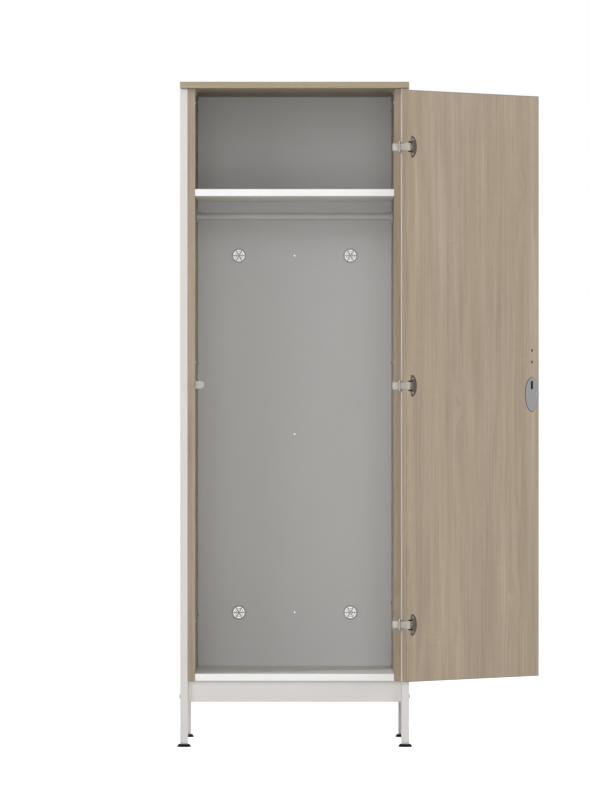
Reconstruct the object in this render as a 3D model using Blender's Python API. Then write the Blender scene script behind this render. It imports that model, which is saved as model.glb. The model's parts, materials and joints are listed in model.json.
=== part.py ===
"""Wardrobe with one door, on a frame of square steel tube with levelling feet.

Sizes are in millimetres and angles in degrees. The cabinet's own frame has X = 0 at its middle, Y = 0 at the
front edges of the side panels with +Y to the back, and Z = 0 on the floor. The door and its lock are modelled
shut, under an empty on the hinge line that turns them to the open rest position.
"""

import math

import bmesh
import bpy
from mathutils import Matrix, Vector

# Overall sizes
overall_width = 620.0
overall_height = 1800.0
frame_depth = 578.0

# Clearances
seat_gap = 0.3
door_gap = 3.0
door_top_gap = 5.5
door_drop = 1.6

# Steel frame
tube_side = 21.0
tube_wall = 1.5
tube_corner = 2.0
apron_bottom = 122.0
apron_thickness = 12.0
apron_wall = 1.5
frame_bolt_radius = 3.0
frame_bolt_head_radius = 7.0
frame_bolt_head_height = 3.0
frame_bolt_rise = 15.0
frame_bolt_reach = 12.0

# Levelling feet and the inserts they screw into
foot_base_radius = 19.0
foot_sole_radius = 17.0
foot_top_radius = 15.0
foot_rim_height = 2.5
foot_height = 8.0
foot_stem_radius = 4.0
foot_stem_length = 46.0
insert_flange = 2.0
insert_length = 32.0

# Cabinet boards
board = 19.0
top_board = 17.0
back_board = 10.0
carcass_underside = 179.0
back_inset = 18.0
groove_depth = 8.0
top_overhang = 22.0
upper_compartment_height = 272.5
edge_round = 0.8

# Panel bolts and corner brackets
panel_bolt_radius = 2.5
panel_bolt_cap_radius = 3.6
panel_bolt_cap_height = 2.8
panel_bolt_low_rise = 161.0
panel_bolt_top_drop = 38.7
panel_bolt_hinge_gap = 27.0
panel_bolt_tip = 7.0
bracket_leg = 12.0
bracket_width = 18.0
bracket_sheet = 2.0
bracket_front_inset = 127.0
bracket_rear_inset = 31.0

# Hanging rail and its sockets
rail_radius = 10.0
rail_wall = 1.5
rail_drop = 48.5
socket_flange_radius = 17.0
socket_flange = 2.5
socket_wall = 2.2
socket_length = 10.0

# Vent grilles and the small holes between them
vent_flange_radius = 20.5
vent_flange = 1.6
vent_collar_radius = 18.4
vent_collar_wall = 1.4
vent_side_inset = 114.5
vent_rise = 149.0
vent_drop = 150.5
vent_ring_radii = (4.2, 9.4, 14.8)
vent_slot_width = 3.0
vent_spokes = 6
vent_spoke_width = 2.0
back_hole_radius = 2.25

# Door
door_board = 19.0
door_hinge_inset = 7.0
door_free_inset = 0.5
door_open_angle = 229.6

# Hinges
hinge_rise = 154.1
hinge_drop = 153.5
pivot_past_edge = 2.5
pivot_past_face = 6.4
knuckle_radius = 2.75
pin_radius = 1.4
pin_head_radius = 2.5
pin_head_height = 1.2
barrel_half = 14.2
door_knuckle_half = 8.6
leaf_sheet = 1.8
frame_leaf_plate = 1.2
frame_leaf_half = 17.0
frame_leaf_depth = 44.0
frame_arm_half = 10.0
frame_arm_rise = 4.3
frame_arm_depth = 38.0
door_leaf_half = 10.5
flange_start = 12.5
flange_end = 39.0
flange_half = 29.3
flange_corner = 7.0
mouth_half = 14.6
mouth_reach = 9.2
mouth_depth = 8.0
cup_radius = 11.0
cup_depth = 9.0

# Lock, strike and handle
lock_inset = 31.0
lock_drop = 23.25
cover_half_width = 29.0
cover_half_height = 47.0
cover_sheet = 1.5
pocket_margin = 3.5
pocket_depth = 15.5
slot_inset = 29.8
slot_rise = 26.0
slot_width = 6.0
slot_height = 22.6
spindle_radius = 4.0
cam_radius = 24.5
cam_hub_radius = 7.0
cam_sheet = 3.0
cam_depth = 8.0
cam_finger_width = 5.0
cam_finger_start = 8.0
cam_finger_sweep = 50.0
cam_spoke_width = 7.0
rose_radius = 14.0
rose_height = 4.0
knob_radius = 10.0
knob_collar = 6.0
knob_grip = 16.0
knob_grip_width = 7.0
strike_sheet = 2.5
strike_height = 20.0
strike_width = 24.7
strike_depth = 28.0
strike_set_back = 8.0
tongue_sheet = 3.0
tongue_reach = 16.0
tongue_tip = 2.8
tongue_window_width = 5.4
tongue_window_height = 9.6
handle_inset = 30.7
handle_rise = 105.5
handle_pitch = 32.0
handle_leg_radius = 5.0
handle_stand_off = 26.0
handle_grip_depth = 8.0
handle_grip_width = 12.0
handle_overrun = 9.0
screw_radius = 1.9
screw_head_radius = 3.3
screw_head_height = 2.2
screw_sink = 8.4
screw_reach = 10.0

# Sides of the round pieces
sides_small = 16
sides_round = 32
sides_cap = 48

# Places that follow from the sizes
MM = 0.001
half_width = overall_width / 2
tube_inner = half_width - tube_side
side_outer = tube_inner - seat_gap
side_inner = side_outer - board
top_underside = overall_height - top_board
panel_top = top_underside - seat_gap
floor_top = carcass_underside + board
tube_bottom = foot_height + seat_gap + insert_flange + seat_gap
rear_tube_front = frame_depth - tube_side
inner_depth = frame_depth - back_inset
shelf_underside = top_underside - upper_compartment_height - board
rail_level = shelf_underside - rail_drop
rail_back = inner_depth / 2
vent_spread = side_inner - vent_side_inset
vent_levels = (floor_top + vent_rise, shelf_underside - vent_drop)
panel_bolt_low = carcass_underside + panel_bolt_low_rise
panel_bolt_high = panel_top - panel_bolt_top_drop
panel_bolt_middle = (panel_bolt_low + panel_bolt_high) / 2
frame_bolt_level = apron_bottom + frame_bolt_rise
door_inner = -door_gap
door_outer = door_inner - door_board
door_bottom = carcass_underside - door_drop
door_top = top_underside - door_top_gap
door_hinge_edge = side_outer - door_hinge_inset
door_free_edge = -side_outer + door_free_inset
pivot_x = door_hinge_edge + pivot_past_edge
pivot_y = door_outer - pivot_past_face
hinge_low = door_bottom + hinge_rise
hinge_high = door_top - hinge_drop
hinge_middle = (hinge_low + hinge_high) / 2
hinge_levels = (hinge_low, hinge_middle, hinge_high)
lock_level = hinge_middle - lock_drop
slot_level = lock_level + slot_rise
handle_level = lock_level + handle_rise
lock_x = door_free_edge + lock_inset
slot_x = door_free_edge + slot_inset
handle_x = door_free_edge + handle_inset
pocket_floor = door_inner - pocket_depth
cam_back = door_inner - cam_depth
window_level = lock_level + cam_radius
corners = (("front_left", -1, 0.0), ("front_right", 1, 0.0),
           ("rear_left", -1, rear_tube_front), ("rear_right", 1, rear_tube_front))
levels = ("lower", "middle", "upper")
panel_bolt_over_hinge = hinge_levels[0] + frame_leaf_half + panel_bolt_hinge_gap
panel_bolt_levels = {-1: (panel_bolt_low, panel_bolt_middle, panel_bolt_high),
                     1: (panel_bolt_over_hinge, panel_bolt_middle, panel_bolt_high)}


def turned_place(x, y):
    """Where a point of the shut door lies when the door stands at its rest angle, in the cabinet's frame."""
    angle = math.radians(door_open_angle)
    dx = x - pivot_x
    dy = y - pivot_y
    return (pivot_x + dx * math.cos(angle) - dy * math.sin(angle),
            pivot_y + dx * math.sin(angle) + dy * math.cos(angle))


# The origin is the middle of the bounding box's bottom, with the door open
foot_overhang = foot_base_radius - tube_side / 2
left_end = -half_width - max(foot_overhang, seat_gap + frame_bolt_head_height)
right_end = max(turned_place(door_free_edge, door_inner)[0],
                turned_place(lock_x - cover_half_width, door_inner + seat_gap + cover_sheet)[0])
front_end = turned_place(door_hinge_edge + seat_gap + leaf_sheet, door_inner - seat_gap)[1]
origin_x = (left_end + right_end) / 2
rear_end = frame_depth + foot_overhang
origin_y = (front_end + rear_end) / 2


def make_material(name, colour, roughness, metallic):
    """A plain Principled material."""
    material = bpy.data.materials.new(name)
    material.use_nodes = True
    shader = material.node_tree.nodes["Principled BSDF"]
    shader.inputs["Base Color"].default_value = (*colour, 1.0)
    shader.inputs["Roughness"].default_value = roughness
    shader.inputs["Metallic"].default_value = metallic
    return material


def make_empty(name, place, parent=None, turn=0.0):
    """An empty at a place in its parent's frame, turned about Z."""
    empty = bpy.data.objects.new(name, None)
    empty.location = Vector(place) * MM
    empty.rotation_euler = (0.0, 0.0, math.radians(turn))
    empty.parent = parent
    bpy.context.collection.objects.link(empty)
    return empty


def finish_mesh(name, shape, group, origin=(0.0, 0.0, 0.0), smooth=False):
    """Makes an object of a bmesh in millimetres, with its origin at a place in the group's frame."""
    bmesh.ops.recalc_face_normals(shape, faces=shape.faces)
    if shape.calc_volume(signed=True) < 0.0:
        bmesh.ops.reverse_faces(shape, faces=shape.faces)
    shift = Vector(origin) + Vector(group["base"])
    shape.transform(Matrix.Scale(MM, 4) @ Matrix.Translation(-shift))
    mesh = bpy.data.meshes.new(name)
    shape.to_mesh(mesh)
    shape.free()
    if smooth:
        mesh.shade_smooth()
        mesh.set_sharp_from_angle(angle=math.radians(35.0))
    piece = bpy.data.objects.new(name, mesh)
    piece.location = Vector(origin) * MM
    piece.parent = group["empty"]
    bpy.context.collection.objects.link(piece)
    return piece


def box(name, group, low, high):
    """A box between two corners."""
    shape = bmesh.new()
    size = Vector(high) - Vector(low)
    middle = (Vector(high) + Vector(low)) / 2
    bmesh.ops.create_cube(shape, size=1.0, matrix=Matrix.Translation(middle) @ Matrix.Diagonal((*size, 1.0)))
    return finish_mesh(name, shape, group)


def axis_matrix(axis):
    """Turns a shape drawn in the XY plane, extruded along Z, so that Z becomes the named axis.

    For X the drawing's axes become Y and Z, for Y they become X and Z.
    """
    columns = {"X": ((0, 1, 0), (0, 0, 1), (1, 0, 0)),
               "Y": ((1, 0, 0), (0, 0, 1), (0, 1, 0)),
               "Z": ((1, 0, 0), (0, 1, 0), (0, 0, 1))}[axis]
    return Matrix(columns).transposed().to_4x4()


def prism(name, group, outline, axis, low, high, smooth=False):
    """An outline, drawn in the plane across the axis, extruded from low to high along it."""
    shape = bmesh.new()
    base = [shape.verts.new((u, v, low)) for u, v in outline]
    face = shape.faces.new(base)
    grown = bmesh.ops.extrude_face_region(shape, geom=[face])
    top = [item for item in grown["geom"] if isinstance(item, bmesh.types.BMVert)]
    bmesh.ops.translate(shape, verts=top, vec=(0.0, 0.0, high - low))
    shape.transform(axis_matrix(axis))
    return finish_mesh(name, shape, group, smooth=smooth)


def turned(name, group, profile, axis, centre, sides, origin=(0.0, 0.0, 0.0)):
    """A solid of revolution: (radius, height) points from end to end, about an axis through a centre.

    A profile that starts and ends at radius 0 makes a full solid; otherwise its ends are joined to a ring.
    """
    shape = bmesh.new()
    rings = []
    for radius, height in profile:
        if radius == 0.0:
            rings.append([shape.verts.new((0.0, 0.0, height))])
        else:
            rings.append([shape.verts.new((radius * math.cos(2 * math.pi * step / sides),
                                           radius * math.sin(2 * math.pi * step / sides), height))
                          for step in range(sides)])
    pairs = list(zip(rings, rings[1:]))
    if profile[0][0] > 0.0:
        pairs.append((rings[-1], rings[0]))
    for lower, upper in pairs:
        for step in range(sides):
            after = (step + 1) % sides
            ring = [lower[step % len(lower)], lower[after % len(lower)],
                    upper[after % len(upper)], upper[step % len(upper)]]
            shape.faces.new(list(dict.fromkeys(ring)))
    shape.transform(Matrix.Translation(Vector(centre)) @ axis_matrix(axis))
    return finish_mesh(name, shape, group, origin=origin, smooth=True)


def rod(name, group, radius, axis, centre, low, high, sides=sides_small):
    """A plain cylinder from low to high along an axis through a centre."""
    return turned(name, group, ((0.0, low), (radius, low), (radius, high), (0.0, high)), axis, centre, sides)


def tube(name, group, outer, inner, axis, centre, low, high, sides=sides_round):
    """A round tube from low to high along an axis through a centre."""
    profile = ((inner, low), (outer, low), (outer, high), (inner, high))
    return turned(name, group, profile, axis, centre, sides)


def dome(name, group, radius, height, shank, axis, centre, side, reach, sides=sides_small):
    """A domed bolt: its head stands proud of the centre on one side, its shank reaches the other way."""
    steps = 4
    angles = [math.pi / 2 * step / steps for step in range(steps)]
    arc = [(radius * math.cos(angle), side * height * math.sin(angle)) for angle in angles]
    profile = [(0.0, -side * reach), (shank, -side * reach), (shank, 0.0), *arc, (0.0, side * height)]
    return turned(name, group, profile, axis, centre, sides)


def combine(piece, tools, operation):
    """Joins tools to a piece, or cuts them from it, by Booleans; the tools stay as hidden guides."""
    for tool in tools:
        tool.hide_render = True
        tool.display_type = "WIRE"
        step = piece.modifiers.new(operation.title() + " " + tool.name, "BOOLEAN")
        step.operation = operation
        step.solver = "EXACT"
        step.object = tool
    return piece


def cut(piece, *tools):
    """Cuts tools from a piece."""
    return combine(piece, tools, "DIFFERENCE")


def join(piece, *tools):
    """Joins tools to a piece."""
    return combine(piece, tools, "UNION")


def soften(piece, width=edge_round, segments=1):
    """Rounds the edges of a board a little."""
    bevel = piece.modifiers.new("Edges", "BEVEL")
    bevel.width = width * MM
    bevel.segments = segments
    bevel.limit_method = "ANGLE"
    return piece


def dress(material, *pieces):
    """Gives pieces a material."""
    for piece in pieces:
        piece.data.materials.append(material)


def arc_points(radius_u, radius_v, start, end, steps, centre=(0.0, 0.0)):
    """Points of an elliptic arc between two angles in degrees."""
    angles = [math.radians(start + (end - start) * step / steps) for step in range(steps + 1)]
    return [(centre[0] + radius_u * math.cos(a), centre[1] + radius_v * math.sin(a)) for a in angles]


def ring_sector(inner, outer, start, end, steps, centre):
    """The outline of a part of a flat ring."""
    outside = arc_points(outer, outer, start, end, steps, centre)
    return outside + arc_points(inner, inner, end, start, steps, centre)


def make_frame(body, paint):
    """Uprights, aprons and the bolts between them."""
    for corner, side, front in corners:
        low = min(side * tube_inner, side * half_width)
        high = max(side * tube_inner, side * half_width)
        upright = box("upright_" + corner, body, (low, front, tube_bottom),
                      (high, front + tube_side, panel_top))
        core = box("bore_of_upright_" + corner, body,
                   (low + tube_wall, front + tube_wall, tube_bottom - 1.0),
                   (high - tube_wall, front + tube_side - tube_wall, panel_top + 1.0))
        soften(upright, tube_corner, 3)
        cut(upright, core)
        bolt_back = bolt_depth(front)
        bolt_hole = rod("frame_bolt_hole_" + corner, body, frame_bolt_radius + seat_gap, "X",
                        (0.0, bolt_back, frame_bolt_level), low - 1.0, high + 1.0)
        cut(upright, bolt_hole)
        if front == 0.0:
            for level, height in zip(levels, panel_bolt_levels[side]):
                hole = rod(f"panel_bolt_hole_{corner}_{level}", body, panel_bolt_radius + seat_gap, "X",
                           (0.0, tube_side / 2, height), side * tube_inner - tube_wall * 2,
                           side * tube_inner + tube_wall * 2)
                cut(upright, hole)
        bolt = dome("frame_bolt_" + corner, body, frame_bolt_head_radius, frame_bolt_head_height,
                    frame_bolt_radius, "X", (side * (half_width + seat_gap), bolt_back, frame_bolt_level),
                    side, tube_side + seat_gap + frame_bolt_reach)
        dress(paint, upright, bolt)
    for name, front in (("front_apron", apron_front(0.0)), ("rear_apron", apron_front(rear_tube_front))):
        reach = tube_inner - seat_gap
        top = carcass_underside - seat_gap
        back = front + apron_thickness
        apron = box(name, body, (-reach, front, apron_bottom), (reach, back, top))
        if name == "rear_apron":
            open_low, open_high = front - 1.0, back - apron_wall
        else:
            open_low, open_high = front + apron_wall, back + 1.0
        inside = box("inside_of_" + name, body,
                     (-reach + apron_wall, open_low, apron_bottom + apron_wall),
                     (reach - apron_wall, open_high, top - apron_wall))
        holes = [rod(f"bolt_hole_{name}_{side}", body, frame_bolt_radius + seat_gap, "X",
                     (0.0, front + apron_thickness / 2, frame_bolt_level),
                     side * reach - apron_wall * 2, side * reach + apron_wall * 2) for side in (-1, 1)]
        cut(soften(apron), inside, *holes)
        dress(paint, apron)


def apron_front(tube_front):
    """The front of the apron beside an upright: flush with the side of the tube that faces the cabinet."""
    if tube_front == 0.0:
        return tube_side - apron_thickness
    return tube_front


def bolt_depth(tube_front):
    """How far back a frame bolt sits: on the middle of its apron."""
    return apron_front(tube_front) + apron_thickness / 2


def make_feet(body, black, grey):
    """Levelling feet, each with its stem, and the inserts in the tubes' ends."""
    bore = tube_side / 2 - tube_wall - seat_gap
    for corner, side, front in corners:
        centre = (side * (half_width - tube_side / 2), front + tube_side / 2, 0.0)
        low = foot_height + seat_gap
        insert = box("tube_insert_" + corner, body,
                     (centre[0] - tube_side / 2, centre[1] - tube_side / 2, low),
                     (centre[0] + tube_side / 2, centre[1] + tube_side / 2, low + insert_flange))
        plug = box("insert_plug_" + corner, body,
                   (centre[0] - bore, centre[1] - bore, low + insert_flange / 2),
                   (centre[0] + bore, centre[1] + bore, low + insert_flange + insert_length))
        thread = rod("insert_bore_" + corner, body, foot_stem_radius + seat_gap, "Z", centre, low - 1.0,
                     low + insert_flange + insert_length + 1.0)
        cut(join(insert, plug), thread)
        profile = ((0.0, 0.0), (foot_sole_radius, 0.0), (foot_base_radius, foot_rim_height),
                   (foot_top_radius, foot_height), (foot_stem_radius, foot_height),
                   (foot_stem_radius, foot_height + foot_stem_length), (0.0, foot_height + foot_stem_length))
        foot = turned("levelling_foot_" + corner, body, profile, "Z", centre, sides_round, origin=centre)
        dress(grey, insert)
        dress(black, foot)


def make_cabinet(body, oak, white, steel):
    """The boards, the panel bolts and the corner brackets."""
    top = soften(box("top_panel", body, (-half_width, -top_overhang, top_underside),
                     (half_width, frame_depth, overall_height)))
    floor = soften(box("bottom_panel", body, (-side_inner + seat_gap, 0.0, carcass_underside),
                       (side_inner - seat_gap, frame_depth, floor_top)))
    shelf = soften(box("shelf", body, (-side_inner + seat_gap, 0.0, shelf_underside),
                       (side_inner - seat_gap, inner_depth - seat_gap, shelf_underside + board)))
    dress(oak, top)
    dress(white, floor, shelf)
    for name, side in (("left", -1), ("right", 1)):
        low = min(side * side_inner, side * side_outer)
        high = max(side * side_inner, side * side_outer)
        panel = soften(box("side_panel_" + name, body, (low, 0.0, carcass_underside),
                           (high, frame_depth, panel_top)))
        groove_low, groove_high = sorted((side * (side_inner - 1.0), side * (side_inner + groove_depth)))
        groove = box("back_groove_" + name, body,
                     (groove_low, inner_depth - seat_gap, carcass_underside - 1.0),
                     (groove_high, inner_depth + back_board + seat_gap, panel_top + 1.0))
        cut(panel, groove)
        for level, height in zip(levels, panel_bolt_levels[side]):
            place = (0.0, tube_side / 2, height)
            hole = rod(f"panel_hole_{name}_{level}", body, panel_bolt_radius + seat_gap, "X", place,
                       low - 1.0, high + 1.0)
            cut(panel, hole)
            bolt = dome(f"panel_bolt_{name}_{level}", body, panel_bolt_cap_radius, panel_bolt_cap_height,
                        panel_bolt_radius, "X", (side * (side_inner - seat_gap), *place[1:]), -side,
                        board + 2 * seat_gap + panel_bolt_tip)
            dress(steel, bolt)
        rear_bracket = inner_depth - bracket_rear_inset - bracket_width
        for end, front in (("front", bracket_front_inset), ("rear", rear_bracket)):
            corner = (side * (side_inner - seat_gap), panel_top)
            outline = [(corner[0] - side * u, corner[1] - v) for u, v in
                       ((0.0, 0.0), (bracket_leg, 0.0), (bracket_leg, bracket_sheet),
                        (bracket_sheet, bracket_sheet), (bracket_sheet, bracket_leg), (0.0, bracket_leg))]
            bracket = prism(f"corner_bracket_{end}_{name}", body, outline, "Y", front, front + bracket_width)
            dress(steel, bracket)
        dress(oak, panel)


def make_back(body, white, plastic):
    """The back panel and its vent grilles."""
    reach = side_inner + groove_depth - seat_gap
    back = box("back_panel", body, (-reach, inner_depth, floor_top + seat_gap),
               (reach, inner_depth + back_board, panel_top))
    middle = sum(vent_levels) / 2
    for height in (vent_levels[0], middle, vent_levels[1]):
        cut(back, rod(f"back_hole_{height:.0f}", body, back_hole_radius, "Y", (0.0, 0.0, height),
                      inner_depth - 1.0, inner_depth + back_board + 1.0))
    for level, height in zip(("lower", "upper"), vent_levels):
        for name, side in (("left", -1), ("right", 1)):
            centre = (side * vent_spread, 0.0, height)
            cut(back, rod(f"vent_hole_{level}_{name}", body, vent_collar_radius + seat_gap, "Y", centre,
                          inner_depth - 1.0, inner_depth + back_board + 1.0, sides_round))
            dress(plastic, make_vent(f"vent_{level}_{name}", body, centre))
    dress(white, back)


def make_vent(name, body, centre):
    """A round grille: a slotted disc with a collar that sits in the back panel's hole."""
    face = inner_depth - seat_gap
    collar_inner = vent_collar_radius - vent_collar_wall
    profile = ((0.0, face - vent_flange), (vent_flange_radius, face - vent_flange),
               (vent_flange_radius, face), (vent_collar_radius, face),
               (vent_collar_radius, inner_depth + back_board),
               (collar_inner, inner_depth + back_board), (collar_inner, face), (0.0, face))
    vent = turned(name, body, profile, "Y", centre, sides_round)
    shape = bmesh.new()
    for ring, radius in enumerate(vent_ring_radii):
        steps = 2 + 2 * ring
        half = 180.0 / vent_spokes - math.degrees(vent_spoke_width / 2 / radius)
        for spoke in range(vent_spokes):
            turn = 360.0 * (spoke + 0.5) / vent_spokes
            outline = ring_sector(radius - vent_slot_width / 2, radius + vent_slot_width / 2,
                                  turn - half, turn + half, steps, (0.0, 0.0))
            base = [shape.verts.new((u, v, face - vent_flange - 1.0)) for u, v in outline]
            grown = bmesh.ops.extrude_face_region(shape, geom=[shape.faces.new(base)])
            far = [item for item in grown["geom"] if isinstance(item, bmesh.types.BMVert)]
            bmesh.ops.translate(shape, verts=far, vec=(0.0, 0.0, vent_flange + 2.0))
    shape.transform(Matrix.Translation(Vector(centre)) @ axis_matrix("Y"))
    return cut(vent, finish_mesh("slots_of_" + name, shape, body))


def make_rail(body, steel, grey):
    """The hanging rail and the sockets that carry its ends."""
    centre = (0.0, rail_back, rail_level)
    end = side_inner - seat_gap
    flange = end - socket_flange
    reach = flange - seat_gap
    dress(steel, tube("hanging_rail", body, rail_radius, rail_radius - rail_wall, "X", centre, -reach, reach))
    bore = rail_radius + seat_gap
    for name, side in (("left", -1), ("right", 1)):
        profile = [(0.0, end), (socket_flange_radius, end), (socket_flange_radius, flange),
                   (bore + socket_wall, flange), (bore + socket_wall, flange - socket_length),
                   (bore, flange - socket_length), (bore, flange), (0.0, flange)]
        placed = [(radius, side * along) for radius, along in profile]
        dress(grey, turned("rail_socket_" + name, body, placed, "X", centre, sides_round))


def leaf_outline(level, spare):
    """The part of a door leaf that lies in the door's inner face: a strip from the edge and a D flange."""
    edge = door_hinge_edge + seat_gap + leaf_sheet
    start = door_hinge_edge - flange_start + spare
    half = flange_half + spare
    width = flange_end - flange_start + 2 * spare
    middle = start - flange_corner
    upper = arc_points(flange_corner, flange_corner, 0.0, 90.0, 5, (middle, level + half - flange_corner))
    bow = arc_points(width - flange_corner, half, 90.0, 270.0, 14, (middle, level))
    lower = arc_points(flange_corner, flange_corner, 270.0, 360.0, 5, (middle, level - half + flange_corner))
    strip = door_leaf_half + spare
    return [(edge + spare, level - strip), (edge + spare, level + strip), (start, level + strip),
            *upper, *bow[1:], *lower[1:], (start, level - strip)]


def make_hinges(body, door, steel, dark):
    """Three hinges: a leaf on the side panel, one on the door, and the pin. Returns the door's cutters."""
    cutters = []
    face = side_inner - seat_gap
    leaf_front = -seat_gap - leaf_sheet
    tine_out = pivot_x + knuckle_radius
    tine_in = tine_out - leaf_sheet
    bore = pin_radius + seat_gap
    knuckle_low = door_knuckle_half + seat_gap
    sheet_back = door_inner - seat_gap
    sheet_front = sheet_back - leaf_sheet
    edge = door_hinge_edge + seat_gap
    cup_x = door_hinge_edge - (flange_start + flange_end) / 2
    mouth_middle = door_hinge_edge - flange_start
    for name, level in zip(levels, hinge_levels):
        leaf = box("hinge_frame_leaf_" + name, body, (face - frame_leaf_plate, 0.0, level - frame_leaf_half),
                   (face, frame_leaf_depth, level + frame_leaf_half))
        channel = box("hinge_channel_" + name, body,
                      (face - frame_arm_rise, leaf_front, level - frame_arm_half),
                      (face - frame_leaf_plate / 2, frame_arm_depth, level + frame_arm_half))
        arm = box("hinge_arm_" + name, body, (face - frame_arm_rise / 2, leaf_front, level - frame_arm_half),
                  (tine_out, -seat_gap, level + frame_arm_half))
        cross = box("hinge_cross_" + name, body, (tine_in, leaf_front, level - barrel_half),
                    (tine_out, -seat_gap, level + barrel_half))
        pieces = [channel, arm, cross]
        for end, side in (("low", -1), ("high", 1)):
            heights = sorted((level + side * knuckle_low, level + side * barrel_half))
            pieces.append(box(f"hinge_tine_{name}_{end}", body, (tine_in, pivot_y, heights[0]),
                              (tine_out, leaf_front / 2, heights[1])))
            pieces.append(rod(f"hinge_knuckle_{name}_{end}", body, knuckle_radius, "Z",
                              (pivot_x, pivot_y, 0.0), *heights))
        hole = rod("hinge_bore_" + name, body, bore, "Z", (pivot_x, pivot_y, 0.0), level - barrel_half - 1.0,
                   level + barrel_half + 1.0)
        cut(join(leaf, *pieces), hole)
        pin_end = level - barrel_half
        pin_seat = level + barrel_half + seat_gap
        pin_top = pin_seat + pin_head_height
        pin = turned("hinge_pin_" + name, body,
                     ((0.0, pin_end), (pin_radius, pin_end), (pin_radius, pin_seat),
                      (pin_head_radius, pin_seat), (pin_head_radius, pin_top), (0.0, pin_top)),
                     "Z", (pivot_x, pivot_y, 0.0), sides_small)
        flange = prism("hinge_door_leaf_" + name, door, leaf_outline(level, 0.0), "Y", sheet_front,
                       sheet_back)
        strap = box("hinge_strap_" + name, door,
                    (edge, (door_outer + door_inner) / 2, level - door_leaf_half),
                    (edge + leaf_sheet, sheet_back, level + door_leaf_half))
        neck = box("hinge_neck_" + name, door, (edge, pivot_y + bore + seat_gap, level - door_knuckle_half),
                   (edge + leaf_sheet, sheet_front, level + door_knuckle_half))
        eye = rod("hinge_eye_" + name, door, knuckle_radius, "Z", (pivot_x, pivot_y, 0.0),
                  level - door_knuckle_half, level + door_knuckle_half)
        cup = rod("hinge_cup_" + name, door, cup_radius, "Y", (cup_x, 0.0, level), sheet_front - cup_depth,
                  sheet_front + leaf_sheet / 2, sides_round)
        eye_bore = rod("hinge_eye_bore_" + name, door, bore, "Z", (pivot_x, pivot_y, 0.0),
                       level - barrel_half, level + barrel_half)
        notches = []
        for end, side in (("low", -1), ("high", 1)):
            heights = sorted((level + side * mouth_half, level + side * door_leaf_half))
            notches.append(box(f"hinge_notch_{name}_{end}", door,
                               (mouth_middle - mouth_reach, sheet_front - cup_depth, heights[0]),
                               (mouth_middle + mouth_reach, sheet_back + 1.0, heights[1])))
        cut(join(flange, strap, neck, eye, cup), eye_bore, *notches)
        recess = prism("hinge_recess_" + name, door, leaf_outline(level, seat_gap), "Y",
                       sheet_front - seat_gap, door_inner + 1.0)
        cup_hole = rod("hinge_cup_hole_" + name, door, cup_radius + seat_gap, "Y", (cup_x, 0.0, level),
                       sheet_front - cup_depth - seat_gap, sheet_back, sides_round)
        mouth = box("hinge_mouth_" + name, door,
                    (mouth_middle - mouth_reach, door_inner - mouth_depth, level - mouth_half),
                    (mouth_middle + mouth_reach, door_inner + 1.0, level + mouth_half))
        cutters += [recess, cup_hole, mouth]
        dress(steel, leaf, pin)
        dress(dark, flange)
    return cutters


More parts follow.
